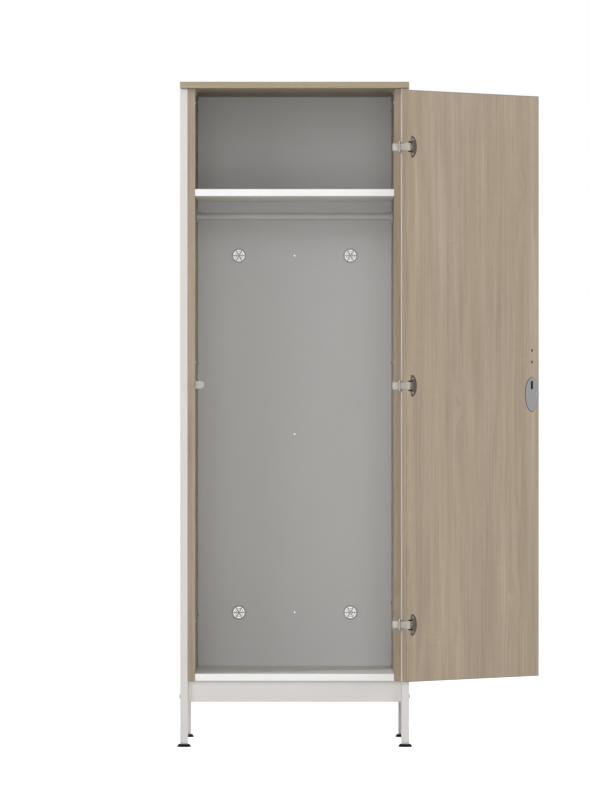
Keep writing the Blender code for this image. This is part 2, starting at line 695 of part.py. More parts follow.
def make_lock(body, door, lock, grey, steel):
    """Lock cover, cam, knob, rose and strike. Returns the door's lock cutters."""
    cover_outline = arc_points(cover_half_width, cover_half_height, 0.0, 352.5, 47, (lock_x, lock_level))
    cover_back = door_inner + seat_gap
    cover = prism("lock_cover", door, cover_outline, "Y", cover_back, cover_back + cover_sheet, smooth=True)
    straight = (slot_height - slot_width) / 2
    round_slot = slot_width / 2
    slot_outline = arc_points(round_slot, round_slot, 0.0, 180.0, 8, (slot_x, slot_level + straight))
    slot_outline += arc_points(round_slot, round_slot, 180.0, 360.0, 8, (slot_x, slot_level - straight))
    cut(cover, prism("lock_slot", door, slot_outline, "Y", cover_back - 1.0, cover_back + cover_sheet + 1.0))
    pocket_outline = arc_points(cover_half_width - pocket_margin, cover_half_height - pocket_margin,
                                0.0, 352.5, 47, (lock_x, lock_level))
    pocket = prism("lock_pocket", door, pocket_outline, "Y", pocket_floor, door_inner + 1.0)
    spindle_hole = rod("spindle_hole", door, spindle_radius + seat_gap, "Y", (lock_x, 0.0, lock_level),
                       door_outer - 1.0, pocket_floor + 1.0)

    axis = (lock_x, 0.0, lock_level)
    first = 90.0 - cam_finger_start - cam_finger_sweep
    finger = ring_sector(cam_radius - cam_finger_width / 2, cam_radius + cam_finger_width / 2,
                         first, first + cam_finger_sweep, 12, axis[::2])
    cam = prism("lock_cam", lock, finger, "Y", cam_back - cam_sheet, cam_back)
    along = Vector((math.cos(math.radians(first)), math.sin(math.radians(first))))
    across = Vector((-along.y, along.x))
    middle = Vector(axis[::2])
    ends = [middle, middle + along * cam_radius]
    spoke = [tuple(ends[0]), tuple(ends[1]), tuple(ends[1] + across * cam_spoke_width),
             tuple(ends[0] + across * cam_spoke_width)]
    hub = rod("cam_hub", lock, cam_hub_radius, "Y", axis, cam_back - cam_sheet, cam_back, sides_round)
    hub_bore = rod("cam_bore", lock, spindle_radius + seat_gap, "Y", axis, cam_back - cam_sheet - 1.0,
                   cam_back + 1.0)
    cut(join(cam, prism("cam_spoke", lock, spoke, "Y", cam_back - cam_sheet, cam_back), hub), hub_bore)

    rose_back = door_outer - seat_gap
    rose_front = rose_back - rose_height
    rose = tube("lock_rose", door, rose_radius, spindle_radius + seat_gap, "Y", axis, rose_front, rose_back)
    knob_back = rose_front - seat_gap
    knob_front = knob_back - knob_collar
    knob = turned("lock_knob", lock,
                  ((0.0, knob_front), (knob_radius, knob_front), (knob_radius, knob_back),
                   (spindle_radius, knob_back), (spindle_radius, cam_back), (0.0, cam_back)),
                  "Y", axis, sides_round)
    grip = soften(box("knob_grip", lock,
                      (lock_x - knob_grip_width / 2, knob_front - knob_grip, lock_level - knob_radius * 0.9),
                      (lock_x + knob_grip_width / 2, knob_front + 1.0, lock_level + knob_radius * 0.9)),
                  edge_round * 2, 2)
    join(knob, grip)

    wall = -side_inner + seat_gap
    strike_low = slot_level - strike_height / 2
    strike_high = slot_level + strike_height / 2
    strike = box("lock_strike", body, (wall, strike_set_back, strike_low),
                 (wall + strike_sheet, strike_set_back + strike_depth, strike_high))
    round_end = strike_height / 2
    plate_end = wall + strike_width - round_end
    plate_arc = arc_points(round_end, round_end, -90.0, 90.0, 12, (plate_end, slot_level))
    plate_outline = [(wall, strike_low), *plate_arc, (wall, strike_high)]
    plate = prism("strike_plate", body, plate_outline, "Y", strike_set_back, strike_set_back + strike_sheet)
    tongue = box("strike_tongue", body, (slot_x - tongue_sheet / 2, -tongue_reach, strike_low + edge_round),
                 (slot_x + tongue_sheet / 2, strike_set_back + strike_sheet / 2, strike_high - edge_round))
    window_front = -tongue_reach + tongue_tip
    window_half = tongue_window_height / 2
    window = box("tongue_window", body, (slot_x - tongue_sheet, window_front, window_level - window_half),
                 (slot_x + tongue_sheet, window_front + tongue_window_width, window_level + window_half))
    cut(join(strike, plate, tongue), window)
    dress(grey, cover, rose)
    dress(steel, cam, knob, strike)
    return [pocket, spindle_hole]


def make_handle(door, steel, dark):
    """The bow handle on the door's outer face and its two screws. Returns the door's screw holes."""
    cutters = []
    back = door_outer - seat_gap
    grip_front = back - handle_stand_off
    half = handle_pitch / 2 + handle_overrun
    grip_half = handle_grip_width / 2
    grip_back = grip_front + handle_grip_depth
    handle = soften(box("door_handle", door, (handle_x - grip_half, grip_front, handle_level - half),
                        (handle_x + grip_half, grip_back, handle_level + half)),
                    handle_grip_depth / 4, 3)
    legs = []
    for name, side in (("lower", -1), ("upper", 1)):
        centre = (handle_x, 0.0, handle_level + side * handle_pitch / 2)
        leg = rod("handle_leg_" + name, door, handle_leg_radius, "Y", centre,
                  grip_front + handle_grip_depth / 2, back)
        legs.append(leg)
        head_top = door_inner - screw_sink
        head_seat = head_top - screw_head_height
        tip = door_outer - screw_reach
        screw = turned("handle_screw_" + name, door,
                       ((0.0, tip), (screw_radius, tip), (screw_radius, head_seat),
                        (screw_head_radius, head_seat), (screw_head_radius, head_top), (0.0, head_top)),
                       "Y", centre, sides_small)
        cutters.append(rod("handle_hole_" + name, door, screw_radius + seat_gap, "Y", centre,
                           door_outer - 1.0, door_inner - screw_sink))
        cutters.append(rod("handle_sink_" + name, door, screw_head_radius + seat_gap, "Y", centre,
                           head_seat - seat_gap, door_inner + 1.0))
        dress(dark, screw)
    thread = [rod("handle_thread_" + name, door, screw_radius + seat_gap, "Y",
                  (handle_x, 0.0, handle_level + side * handle_pitch / 2),
                  door_outer - screw_reach - seat_gap, door_outer + 1.0)
              for name, side in (("lower", -1), ("upper", 1))]
    cut(join(handle, *legs), *thread)
    dress(steel, handle)
    return cutters


def make_door(door, oak, cutters):
    """The door panel with its recesses, holes and lock pocket."""
    panel = soften(box("door_panel", door, (door_free_edge, door_outer, door_bottom),
                       (door_hinge_edge, door_inner, door_top)))
    cut(panel, *cutters)
    dress(oak, panel)


def main():
    """Clears the scene and builds the wardrobe."""
    for item in list(bpy.data.objects):
        bpy.data.objects.remove(item, do_unlink=True)
    paint = make_material("painted_tube", (0.67, 0.65, 0.63), 0.45, 0.0)
    oak = make_material("oak_laminate", (0.40, 0.33, 0.25), 0.55, 0.0)
    white = make_material("white_laminate", (0.85, 0.84, 0.83), 0.5, 0.0)
    plastic = make_material("vent_plastic", (0.80, 0.80, 0.79), 0.5, 0.0)
    grey = make_material("grey_fitting", (0.32, 0.32, 0.33), 0.45, 0.2)
    insert_grey = make_material("insert_plastic", (0.62, 0.61, 0.60), 0.5, 0.0)
    black = make_material("foot_plastic", (0.012, 0.011, 0.011), 0.5, 0.0)
    steel = make_material("plated_steel", (0.55, 0.54, 0.52), 0.35, 1.0)
    dark = make_material("dark_plated_steel", (0.20, 0.18, 0.16), 0.35, 1.0)

    base = make_empty("cabinet_frame", (-origin_x, -origin_y, 0.0))
    pivot = make_empty("door_pivot", (pivot_x, pivot_y, 0.0), base, door_open_angle)
    lock_pivot = make_empty("lock_pivot", (lock_x - pivot_x, -pivot_y, lock_level), pivot)
    body = {"empty": base, "base": (0.0, 0.0, 0.0)}
    door = {"empty": pivot, "base": (pivot_x, pivot_y, 0.0)}
    lock = {"empty": lock_pivot, "base": (lock_x, 0.0, lock_level)}

    make_frame(body, paint)
    make_feet(body, black, insert_grey)
    make_cabinet(body, oak, white, steel)
    make_back(body, white, plastic)
    make_rail(body, steel, grey)
    cutters = make_hinges(body, door, steel, dark)
    cutters += make_lock(body, door, lock, grey, steel)
    cutters += make_handle(door, steel, dark)
    make_door(door, oak, cutters)


main()
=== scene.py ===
"""Looks of a one-door wardrobe on a steel-tube frame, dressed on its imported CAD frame.

Lengths are in metres and angles in degrees. Pieces are worked out in the cabinet's own frame: X = 0 at its
middle, Y = 0 at the front edges of the side panels with +Y to the back, and Z = 0 on the floor. The door's
pieces are worked out with the door shut, and a placement turns them to where the door stands.
"""

import json
import logging
import math
from abc import ABC, abstractmethod
from dataclasses import dataclass, field
from enum import Enum
from typing import Any, Iterable, Sequence

import bpy
import numpy as np
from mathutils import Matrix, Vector
from numpy.typing import NDArray


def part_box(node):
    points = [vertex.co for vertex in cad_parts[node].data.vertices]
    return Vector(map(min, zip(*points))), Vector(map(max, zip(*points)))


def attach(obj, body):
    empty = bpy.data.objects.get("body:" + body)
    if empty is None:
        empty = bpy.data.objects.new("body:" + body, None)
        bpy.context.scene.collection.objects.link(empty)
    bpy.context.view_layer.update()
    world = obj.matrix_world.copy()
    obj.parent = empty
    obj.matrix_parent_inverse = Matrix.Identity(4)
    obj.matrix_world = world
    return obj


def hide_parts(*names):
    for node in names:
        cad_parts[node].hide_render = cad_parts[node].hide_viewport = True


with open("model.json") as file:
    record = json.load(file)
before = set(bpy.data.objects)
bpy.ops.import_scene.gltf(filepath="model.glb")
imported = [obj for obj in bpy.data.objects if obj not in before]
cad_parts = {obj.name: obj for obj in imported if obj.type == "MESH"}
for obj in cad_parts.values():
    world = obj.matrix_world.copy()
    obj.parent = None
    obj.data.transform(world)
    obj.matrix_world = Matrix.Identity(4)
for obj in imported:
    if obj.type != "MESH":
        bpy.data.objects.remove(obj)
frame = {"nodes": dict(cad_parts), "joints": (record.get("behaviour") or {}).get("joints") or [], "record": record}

LOG = logging.getLogger("wardrobe")
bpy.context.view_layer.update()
MM = 0.001
TINY = 1e-9
SEAT_GAP = 0.3 * MM
SCREW_RISE = 0.6 * MM
LOW_SCREW_RISE = 0.5 * MM
BUMP_STRENGTH = 0.35

# Shares of a turned piece's or a screw head's radius or rise
END_SHARE = 0.1
HEAD_FOOT = 0.9
HEAD_MIDDLE = 0.02
HEAD_SINK = 0.5
CROSS_ARM = (0.10, 0.16)
CROSS_REACH = (0.50, 0.60)
CROSS_DEPTH = 0.9

# Shares of a bolt head's socket radius, its rise and its socket's floor
SOCKET_LAND = 1.12
SOCKET_TAPER = 0.97
SOCKET_MIDDLE = 0.2
SOCKET_FLOOR = 0.25
SOCKET_DISH = 0.8

WHITE = (1.0, 1.0, 1.0, 1.0)
CORNERS = ("front_left", "front_right", "rear_left", "rear_right")
LEVELS = ("lower", "middle", "upper")
SIDES = {"left": -1, "right": 1}
SURFACE_OUTPUTS = {"Color": "Color", "Height": "Float", "Roughness": "Float"}

Array = NDArray[np.float64]
Colour = tuple[float, float, float]
Socket = bpy.types.NodeSocket
Tree = bpy.types.NodeTree
Node = bpy.types.Node
Material = bpy.types.Material


class Facing(Enum):
    """Which way a fitting's outer side looks, with the local axes' directions as rows."""

    FRONT = ((1, 0, 0), (0, 0, 1), (0, -1, 0))
    BACK = ((-1, 0, 0), (0, 0, 1), (0, 1, 0))
    LEFT = ((0, -1, 0), (0, 0, 1), (-1, 0, 0))
    RIGHT = ((0, 1, 0), (0, 0, 1), (1, 0, 0))
    DOWN = ((1, 0, 0), (0, -1, 0), (0, 0, -1))


def turned_axes(angle: float) -> Array:
    """The axes turned about Z.

    Args:
        angle: The angle.

    Returns:
        The axes as rows.
    """
    cosine = math.cos(math.radians(angle))
    sine = math.sin(math.radians(angle))
    return np.array(((cosine, sine, 0.0), (-sine, cosine, 0.0), (0.0, 0.0, 1.0)))


@dataclass
class Surface:
    """Closed shells: points of shape (n, 3), and faces as tuples of point numbers."""

    points: Array
    faces: list[tuple[int, ...]]

    def volume(self) -> float:
        """The signed volume: the sum over fan triangles of a . (b x c) / 6.

        Returns:
            The volume, negative where the faces look inwards.
        """
        total = 0.0
        for size in sorted({len(face) for face in self.faces}):
            group = np.array([face for face in self.faces if len(face) == size])
            first = self.points[group[:, 0]]
            for step in range(1, size - 1):
                second = self.points[group[:, step]]
                third = self.points[group[:, step + 1]]
                total += float(np.einsum("ij,ij->", first, np.cross(second, third))) / 6.0
        return total

    def outward(self) -> "Surface":
        """The same shell with its faces turned outwards."""
        faces = [face[::-1] for face in self.faces] if self.volume() < 0.0 else self.faces
        return Surface(self.points, faces)

    def posed(self, facing: Facing, centre: Sequence[float]) -> "Surface":
        """The shell with its local Z along a facing and its origin at a centre: P = centre + local . axes."""
        return Surface(self.points @ np.array(facing.value, float) + np.array(centre, float), self.faces)

    def shifted(self, shift: Sequence[float]) -> "Surface":
        """The shell moved by a shift."""
        return Surface(self.points + np.array(shift, float), self.faces)

    def spun(self, angle: float) -> "Surface":
        """The shell turned about its local Z by an angle."""
        return Surface(self.points @ turned_axes(angle), self.faces)


def merged(parts: Iterable[Surface]) -> Surface:
    """Puts shells into one.

    Args:
        parts: The shells.

    Returns:
        One surface that holds all the shells.
    """
    points: list[Array] = []
    faces: list[tuple[int, ...]] = []
    count = 0
    for part in parts:
        points.append(part.points)
        faces.extend(tuple(number + count for number in face) for face in part.faces)
        count += len(part.points)
    return Surface(np.concatenate(points), faces)


def ringed(rings: Array, looped: bool = False) -> Surface:
    """Skins a stack of closed rings with quads, and closes its ends flat or loops back to the first ring.

    Args:
        rings: Points of shape (rows, columns, 3).
        looped: Whether the last ring joins the first, as in a tube; otherwise both ends are closed flat.

    Returns:
        The closed shell, with its faces outwards.
    """
    rows, columns, _ = rings.shape
    numbers = np.arange(rows * columns).reshape(rows, columns)
    lower = numbers if looped else numbers[:-1]
    upper = np.roll(numbers, -1, axis=0) if looped else numbers[1:]
    quads = np.stack((lower, np.roll(lower, -1, axis=1), np.roll(upper, -1, axis=1), upper), axis=-1)
    faces = [tuple(quad) for quad in quads.reshape(-1, 4).tolist()]
    if not looped:
        faces.append(tuple(numbers[0][::-1].tolist()))
        faces.append(tuple(numbers[-1].tolist()))
    return Surface(rings.reshape(-1, 3), faces).outward()


def revolved(radii: Array, heights: Array, sides: int, looped: bool = False) -> Surface:
    """A surface of revolution about Z: P(i, a) = (r cos a, r sin a, h).

    Args:
        radii: Radius for each row, or for each row and side.
        heights: Height for each row, or for each row and side.
        sides: Number of sides.
        looped: Whether the last row joins the first.

    Returns:
        The closed shell.
    """
    angles = np.linspace(0.0, 2.0 * np.pi, sides, endpoint=False)
    radius = np.broadcast_to(np.array(radii, float).reshape(len(radii), -1), (len(radii), sides))
    height = np.broadcast_to(np.array(heights, float).reshape(len(heights), -1), (len(heights), sides))
    return ringed(np.stack((radius * np.cos(angles), radius * np.sin(angles), height), axis=-1), looped)


def turned(profile: Sequence[Sequence[float]], sides: int, looped: bool = False) -> Surface:
    """A surface of revolution about Z from pairs of radius and height."""
    radii, heights = np.array(profile, float).T
    return revolved(radii, heights, sides, looped)


def rounded_edge(radius: float, steps: int) -> tuple[Array, Array]:
    """The two legs of a rounded edge: r (1 - sin a) and r (1 - cos a), for a from 0 to 90 degrees."""
    angle = np.linspace(0.0, np.pi / 2, steps)
    return radius * (1 - np.sin(angle)), radius * (1 - np.cos(angle))


def rounded_rectangle(width: float, height: float, radius: float, steps: int = 5) -> Array:
    """A rectangle's outline about the origin, its corners arcs of a radius.

    Args:
        width: Size along the first axis.
        height: Size along the second axis.
        radius: Corner radius.
        steps: Points on each corner.

    Returns:
        The outline, of shape (4 * steps, 2).
    """
    quarter = np.linspace(0.0, np.pi / 2.0, steps)
    turns = np.repeat(np.arange(4) * np.pi / 2.0, steps) + np.tile(quarter, 4)
    corner = np.array(((1, 1), (-1, 1), (-1, -1), (1, -1)), float) * (width / 2 - radius, height / 2 - radius)
    return np.repeat(corner, steps, axis=0) + radius * np.stack((np.cos(turns), np.sin(turns)), axis=-1)


def outline_normals(outline: Array) -> Array:
    """The outward normals of a closed outline: the mean of the two edges' normals at each point.

    Args:
        outline: Closed outline, anticlockwise, of shape (n, 2).

    Returns:
        The normals, of the same shape.
    """
    ahead = np.roll(outline, -1, axis=0) - outline
    ahead /= np.linalg.norm(ahead, axis=1, keepdims=True)
    mean = ahead + np.roll(ahead, 1, axis=0)
    mean /= np.linalg.norm(mean, axis=1, keepdims=True)
    return np.stack((mean[:, 1], -mean[:, 0]), axis=-1)


def plate(outline: Array, thickness: float, bevel: float, steps: int = 3) -> Surface:
    """A plate with rounded edges: the outline is drawn in by b (1 - sin a) as it rises by b (1 - cos a).

    Args:
        outline: Closed outline, anticlockwise, of shape (n, 2).
        thickness: Height of the plate, from local Z = 0 up.
        bevel: Radius of its edges.
        steps: Rings on each edge.

    Returns:
        The closed shell.
    """
    draw, climb = rounded_edge(bevel, steps)
    inset = np.concatenate((draw, climb))
    height = np.concatenate((climb, thickness - draw))
    flat = outline[None] - inset[:, None, None] * outline_normals(outline)[None]
    rise = np.broadcast_to(height[:, None, None], (*flat.shape[:2], 1))
    return ringed(np.concatenate((flat, rise), axis=-1))


def block(low: Sequence[float], high: Sequence[float], facing: Facing, bevel: float) -> Surface:
    """A box with rounded edges between two corners; its edges across the facing get twice the bevel.

    Args:
        low: Lowest corner.
        high: Highest corner.
        facing: The side that the box's thickness runs along.
        bevel: Radius of the edges.

    Returns:
        The closed shell.
    """
    axes = np.abs(np.array(facing.value, float))
    size = axes @ (np.array(high) - np.array(low))
    middle = (np.array(high) + np.array(low)) / 2
    outline = rounded_rectangle(size[0], size[1], bevel * 2)
    return plate(outline, size[2], bevel).shifted((0, 0, -size[2] / 2)).posed(facing, middle)


def tube_shell(outer: float, inner: float, length: float, bevel: float, sides: int) -> Surface:
    """A round tube with eased ends, from local Z = 0 to its length.

    Args:
        outer: Outer radius.
        inner: Inner radius.
        length: Length.
        bevel: Easing of the four end edges.
        sides: Number of sides.

    Returns:
        The closed shell.
    """
    profile = ((inner + bevel, 0.0), (outer - bevel, 0.0), (outer, bevel), (outer, length - bevel),
               (outer - bevel, length), (inner + bevel, length), (inner, length - bevel), (inner, bevel))
    return turned(profile, sides, looped=True)


def smoothstep(value: Array, low: float, high: float) -> Array:
    """The cubic step 3t^2 - 2t^3 between two limits."""
    step = np.clip((value - low) / (high - low), 0.0, 1.0)
    return step * step * (3.0 - 2.0 * step)


def screw_head(radius: float, rise: float, sides: int = 48, rows: int = 14) -> Surface:
    """A low domed screw head with a cross recess, sunk a little below local Z = 0.

    With s = r/R the height is rise (1 - s^2), less CROSS_DEPTH of the rise inside the recess. Its walls slope
    between the two values of CROSS_ARM across its arms and of CROSS_REACH along them.

    Args:
        radius: Head radius.
        rise: Height of the dome.
        sides: Number of sides.
        rows: Rings from the rim to the middle.

    Returns:
        The closed shell.
    """
    angles = np.linspace(0.0, 2.0 * np.pi, sides, endpoint=False)
    share = np.concatenate(((HEAD_FOOT,), np.linspace(1.0, HEAD_MIDDLE, rows)))
    across = np.minimum(np.abs(np.cos(angles)), np.abs(np.sin(angles)))[None] * share[:, None]
    cross = (1.0 - smoothstep(across, *CROSS_ARM)) * (1.0 - smoothstep(share, *CROSS_REACH))[:, None]
    heights = rise * (1.0 - share[:, None] ** 2 - CROSS_DEPTH * cross)
    heights[0] = -rise * HEAD_SINK
    return revolved(radius * share, heights, sides)


def screws(radius: float, rise: float, facing: Facing, spots: Iterable[Sequence[float]]) -> Surface:
    """Screw heads of one size at several spots."""
    return merged(screw_head(radius, rise).posed(facing, spot) for spot in spots)


def socket_head(radius: float, rise: float, socket: float, sides: int = 48) -> Surface:
    """A domed bolt head with a six-sided socket, its seat at local Z = 0.

    The dome is r = R cos a, h = rise sin a; the socket's wall is r = s cos 30 / cos(a mod 60 - 30).

    Args:
        radius: Head radius.
        rise: Height of the dome.
        socket: Radius of the socket's corners.
        sides: Number of sides.

    Returns:
        The closed shell.
    """
    angles = np.linspace(0.0, 2.0 * np.pi, sides, endpoint=False)
    hexagon = socket * math.cos(math.pi / 6) / np.cos(np.mod(angles, math.pi / 3) - math.pi / 6)
    arc = np.linspace(0.0, math.acos(socket * SOCKET_LAND / radius), 9)
    dome = np.repeat((radius * np.cos(arc))[:, None], sides, axis=1)
    climb = rise * np.sin(arc)
    floor = rise * SOCKET_FLOOR
    radii = np.vstack((dome, hexagon, hexagon * SOCKET_TAPER, hexagon * SOCKET_MIDDLE))
    return revolved(radii, np.array((*climb, climb[-1], floor, floor * SOCKET_DISH)), sides)


@dataclass(frozen=True)
class Extent:
    """A box between its lowest and highest corners."""

    low: Array
    high: Array

    @property
    def middle(self) -> Array:
        """The middle of the box."""
        return (self.low + self.high) / 2

    @property
    def half(self) -> Array:
        """Half the box's size."""
        return (self.high - self.low) / 2

    def end(self, axis: int, sign: int) -> float:
        """The box's end along an axis, on the negative or the positive side."""
        return float(self.high[axis] if sign > 0 else self.low[axis])


@dataclass(frozen=True)
class Placement:
    """Turns the cabinet's or the shut door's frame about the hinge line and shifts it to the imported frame."""

    origin: tuple[float, float, float]
    pivot: tuple[float, float]
    turn: float

    def place(self, points: Array) -> Array:
        """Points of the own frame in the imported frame."""
        pivot = np.array((*self.pivot, 0.0))
        return (points - pivot) @ turned_axes(self.turn) + pivot + np.array(self.origin)

    def unplace(self, points: Array) -> Array:
        """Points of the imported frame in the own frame."""
        pivot = np.array((*self.pivot, 0.0))
        return (points - np.array(self.origin) - pivot) @ turned_axes(self.turn).T + pivot

    def extent(self, node: str) -> Extent:
        """A CAD node's box in the own frame.

        Args:
            node: The node's name.

        Returns:
            The box.
        """
        mesh = frame["nodes"][node].data
        flat = np.empty(len(mesh.vertices) * 3)
        mesh.vertices.foreach_get("co", flat)
        points = self.unplace(flat.reshape(-1, 3))
        return Extent(points.min(axis=0), points.max(axis=0))


class Graph:
    """Adds nodes to a node tree and links them."""

    def __init__(self, tree: Tree) -> None:
        """Keeps the tree."""
        self.tree = tree

    def node(self, kind: str, inputs: dict[Any, Any] | None = None, **settings: Any) -> Node:
        """Adds a node.

        Args:
            kind: The node's type without its ShaderNode prefix.
            inputs: For each input, a value or the socket that feeds it.
            settings: The node's own settings.

        Returns:
            The node.
        """
        node = self.tree.nodes.new("ShaderNode" + kind)
        for name, value in settings.items():
            setattr(node, name, value)
        for name, value in (inputs or {}).items():
            if isinstance(value, Socket):
                self.tree.links.new(value, node.inputs[name])
            else:
                node.inputs[name].default_value = value
        return node

    def link(self, socket: Socket, node: Node, label: str) -> None:
        """Feeds a node's input."""
        self.tree.links.new(socket, node.inputs[label])

    def math(self, operation: str, *values: Any) -> Socket:
        """A Math node's result."""
        return self.node("Math", dict(enumerate(values)), operation=operation).outputs[0]

    def mix(self, factor: Any, first: Any, second: Any) -> Socket:
        """A colour between two."""
        return self.node("Mix", {0: factor, 6: first, 7: second}, data_type="RGBA").outputs[2]

    def noise(self, vector: Any, scale: float, detail: float, along: float, across: float = 1.0) -> Socket:
        """Noise on coordinates that are scaled along the grain, Z, and across it, X."""
        mapped = self.node("Mapping", {"Vector": vector, "Scale": (across, 1.0, along)}).outputs[0]
        return self.node("TexNoise", {"Vector": mapped, "Scale": scale, "Detail": detail}).outputs[0]

    def ramp(self, value: Any, low: float, high: float) -> Socket:
        """A value mapped from a range to 0..1."""
        return self.node("MapRange", {0: value, 1: low, 2: high}).outputs[0]


def new_group(name: str, inputs: dict[str, str], outputs: dict[str, str]) -> tuple[Graph, Any, Any]:
    """Starts a shader node group.

    Args:
        name: The group's name.
        inputs: Socket types by name.
        outputs: Socket types by name.

    Returns:
        The group's graph, its input node and its output node.
    """
    tree = bpy.data.node_groups.new(name, "ShaderNodeTree")
    for direction, sockets in (("INPUT", inputs), ("OUTPUT", outputs)):
        for label, kind in sockets.items():
            tree.interface.new_socket(label, in_out=direction, socket_type="NodeSocket" + kind)
    return Graph(tree), tree.nodes.new("NodeGroupInput"), tree.nodes.new("NodeGroupOutput")


def oak_group() -> Tree:
    """Oak decor with its grain along Z: strips, bands, streaks, flame lines, dashes, pores and saw marks.

    The grain bends round a few small knots, because each knot shifts the coordinate across the grain.

    Returns:
        The group, with Vector, Light, Dark, Tint and Pore in, and Color, Height and Roughness out.
    """
    inputs = {"Vector": "Vector", "Light": "Color", "Dark": "Color", "Tint": "Color", "Pore": "Color"}
    graph, start, end = new_group("oak_grain", inputs, SURFACE_OUTPUTS)
    vector = start.outputs["Vector"]
    x, y, z = graph.node("SeparateXYZ", {0: vector}).outputs
    plain = graph.math("ADD", x, y)
    sheet = graph.node("CombineXYZ", {0: plain, 1: graph.math("MULTIPLY", z, 0.4)}).outputs[0]
    cells = graph.node("TexVoronoi", {"Vector": sheet, "Scale": 3.1}, voronoi_dimensions="2D")
    knots = graph.ramp(cells.outputs["Distance"], 0.10, 0.0)
    wander = graph.noise(vector, 2.4, 2.0, 0.8)
    across = graph.math("MULTIPLY_ADD", wander, 0.03, graph.math("MULTIPLY_ADD", knots, 0.03, plain))
    flat = graph.node("CombineXYZ", {0: across, 2: z}).outputs[0]

    strip = graph.node("TexVoronoi", {"W": across, "Scale": 24.0}, voronoi_dimensions="1D").outputs["Color"]
    bands = graph.noise(flat, 22.0, 2.0, 0.06)
    streaks = graph.noise(flat, 150.0, 3.0, 0.02)
    flame = graph.math("SINE", graph.math("MULTIPLY", graph.noise(flat, 5.0, 1.5, 0.11), 70.0))
    patches = graph.ramp(graph.noise(flat, 9.0, 1.0, 0.2), 0.45, 0.65)
    dashes = graph.ramp(graph.noise(flat, 95.0, 1.0, 0.055), 0.64, 0.76)
    pores = graph.ramp(graph.noise(flat, 1100.0, 1.0, 0.025), 0.58, 0.74)
    marks = graph.ramp(graph.noise(flat, 230.0, 1.0, 1.0, 0.07), 0.58, 0.72)
    spots = graph.ramp(graph.noise(flat, 13.0, 1.0, 0.7), 0.54, 0.68)

    tone: Any = 0.5
    for value, weight in ((strip, 0.22), (bands, 1.2), (streaks, 1.15)):
        tone = graph.math("MULTIPLY_ADD", graph.math("SUBTRACT", value, 0.5), weight, tone)
    lines = graph.math("MULTIPLY", flame, graph.math("MAXIMUM", patches, knots))
    tone = graph.math("MULTIPLY_ADD", lines, 0.12, tone)
    tone = graph.math("MULTIPLY_ADD", graph.math("MULTIPLY", marks, spots), 0.24, tone)
    hue = graph.ramp(graph.noise(flat, 15.0, 2.0, 0.05), 0.36, 0.64)
    pale = graph.mix(hue, start.outputs["Light"], start.outputs["Tint"])
    wood = graph.mix(graph.ramp(tone, 0.0, 1.0), start.outputs["Dark"], pale)
    depth = graph.math("MAXIMUM", graph.math("MULTIPLY", pores, 0.30), graph.math("MULTIPLY", dashes, 0.26))
    graph.link(graph.mix(depth, wood, start.outputs["Pore"]), end, "Color")
    graph.link(graph.math("SUBTRACT", 1.0, depth), end, "Height")
    rough = graph.math("MULTIPLY_ADD", depth, 0.3, graph.math("MULTIPLY_ADD", bands, 0.1, 0.45))
    graph.link(rough, end, "Roughness")
    return graph.tree


def painted_edge_shade_group() -> Tree:
    """Painted shade: a thin darker strip along a board's left, lower and upper edges, in the board's own X and Z.

    Returns:
        The group, with Vector, Color, the painted shade's colour, Left, Bottom, Top and Width in, and Color out.
    """
    inputs = {"Vector": "Vector", "Color": "Color", "Band": "Color", "Left": "Float", "Bottom": "Float",
              "Top": "Float", "Width": "Float"}
    graph, start, end = new_group("edge_band", inputs, {"Color": "Color"})
    x, _, z = graph.node("SeparateXYZ", {0: start.outputs["Vector"]}).outputs
    side = graph.math("SUBTRACT", x, start.outputs["Left"])
    lower = graph.math("SUBTRACT", z, start.outputs["Bottom"])
    upper = graph.math("SUBTRACT", start.outputs["Top"], z)
    nearest = graph.math("MINIMUM", side, graph.math("MINIMUM", lower, upper))
    # Painted shade: the colour turns to the darker one within the width of the nearest edge.
    mask = graph.ramp(graph.math("DIVIDE", nearest, start.outputs["Width"]), 1.1, 0.8)
    graph.link(graph.mix(mask, start.outputs["Color"], start.outputs["Band"]), end, "Color")
    return graph.tree


def speckle_group() -> Tree:
    """A fine even texture: small bumps, and a slow drift of tone and roughness.

    Returns:
        The group, with Vector, Color, Shade, Grain, Rough and Spread in, and Color, Height and Roughness out.
    """
    inputs = {"Vector": "Vector", "Color": "Color", "Shade": "Color", "Grain": "Float", "Rough": "Float",
              "Spread": "Float"}
    graph, start, end = new_group("fine_speckle", inputs, SURFACE_OUTPUTS)
    vector = start.outputs["Vector"]
    bumps = graph.node("TexNoise", {"Vector": vector, "Scale": start.outputs["Grain"], "Detail": 2.0})
    grain = bumps.outputs[0]
    drift = graph.ramp(graph.noise(vector, 5.0, 3.0, 0.5), 0.3, 0.7)
    clouds = graph.ramp(graph.math("MULTIPLY_ADD", graph.math("SUBTRACT", grain, 0.5), 0.7, drift), 0.0, 1.0)
    graph.link(graph.mix(clouds, start.outputs["Shade"], start.outputs["Color"]), end, "Color")
    graph.link(grain, end, "Height")
    offset = graph.math("MULTIPLY", graph.math("SUBTRACT", grain, 0.5), start.outputs["Spread"])
    graph.link(graph.math("ADD", offset, start.outputs["Rough"]), end, "Roughness")
    return graph.tree


def linear(colour: Sequence[float]) -> tuple[float, float, float, float]:
    """Brings a colour to linear light: ((c + 0.055) / 1.055)^2.4, and c / 12.92 near black.

    Args:
        colour: Red, green and blue in sRGB steps of 0 to 255.

    Returns:
        Linear red, green, blue and a full alpha.
    """
    scaled = np.array(colour, float) / 255.0
    curve = np.where(scaled <= 0.04045, scaled / 12.92, ((scaled + 0.055) / 1.055) ** 2.4)
    return (*curve.tolist(), 1.0)


class Grain(Enum):
    """The direction of a board's grain, as the Mapping rotation that brings it to Z."""

    UPRIGHT = (0.0, 0.0, 0.0)
    ACROSS = (0.0, math.pi / 2, 0.0)


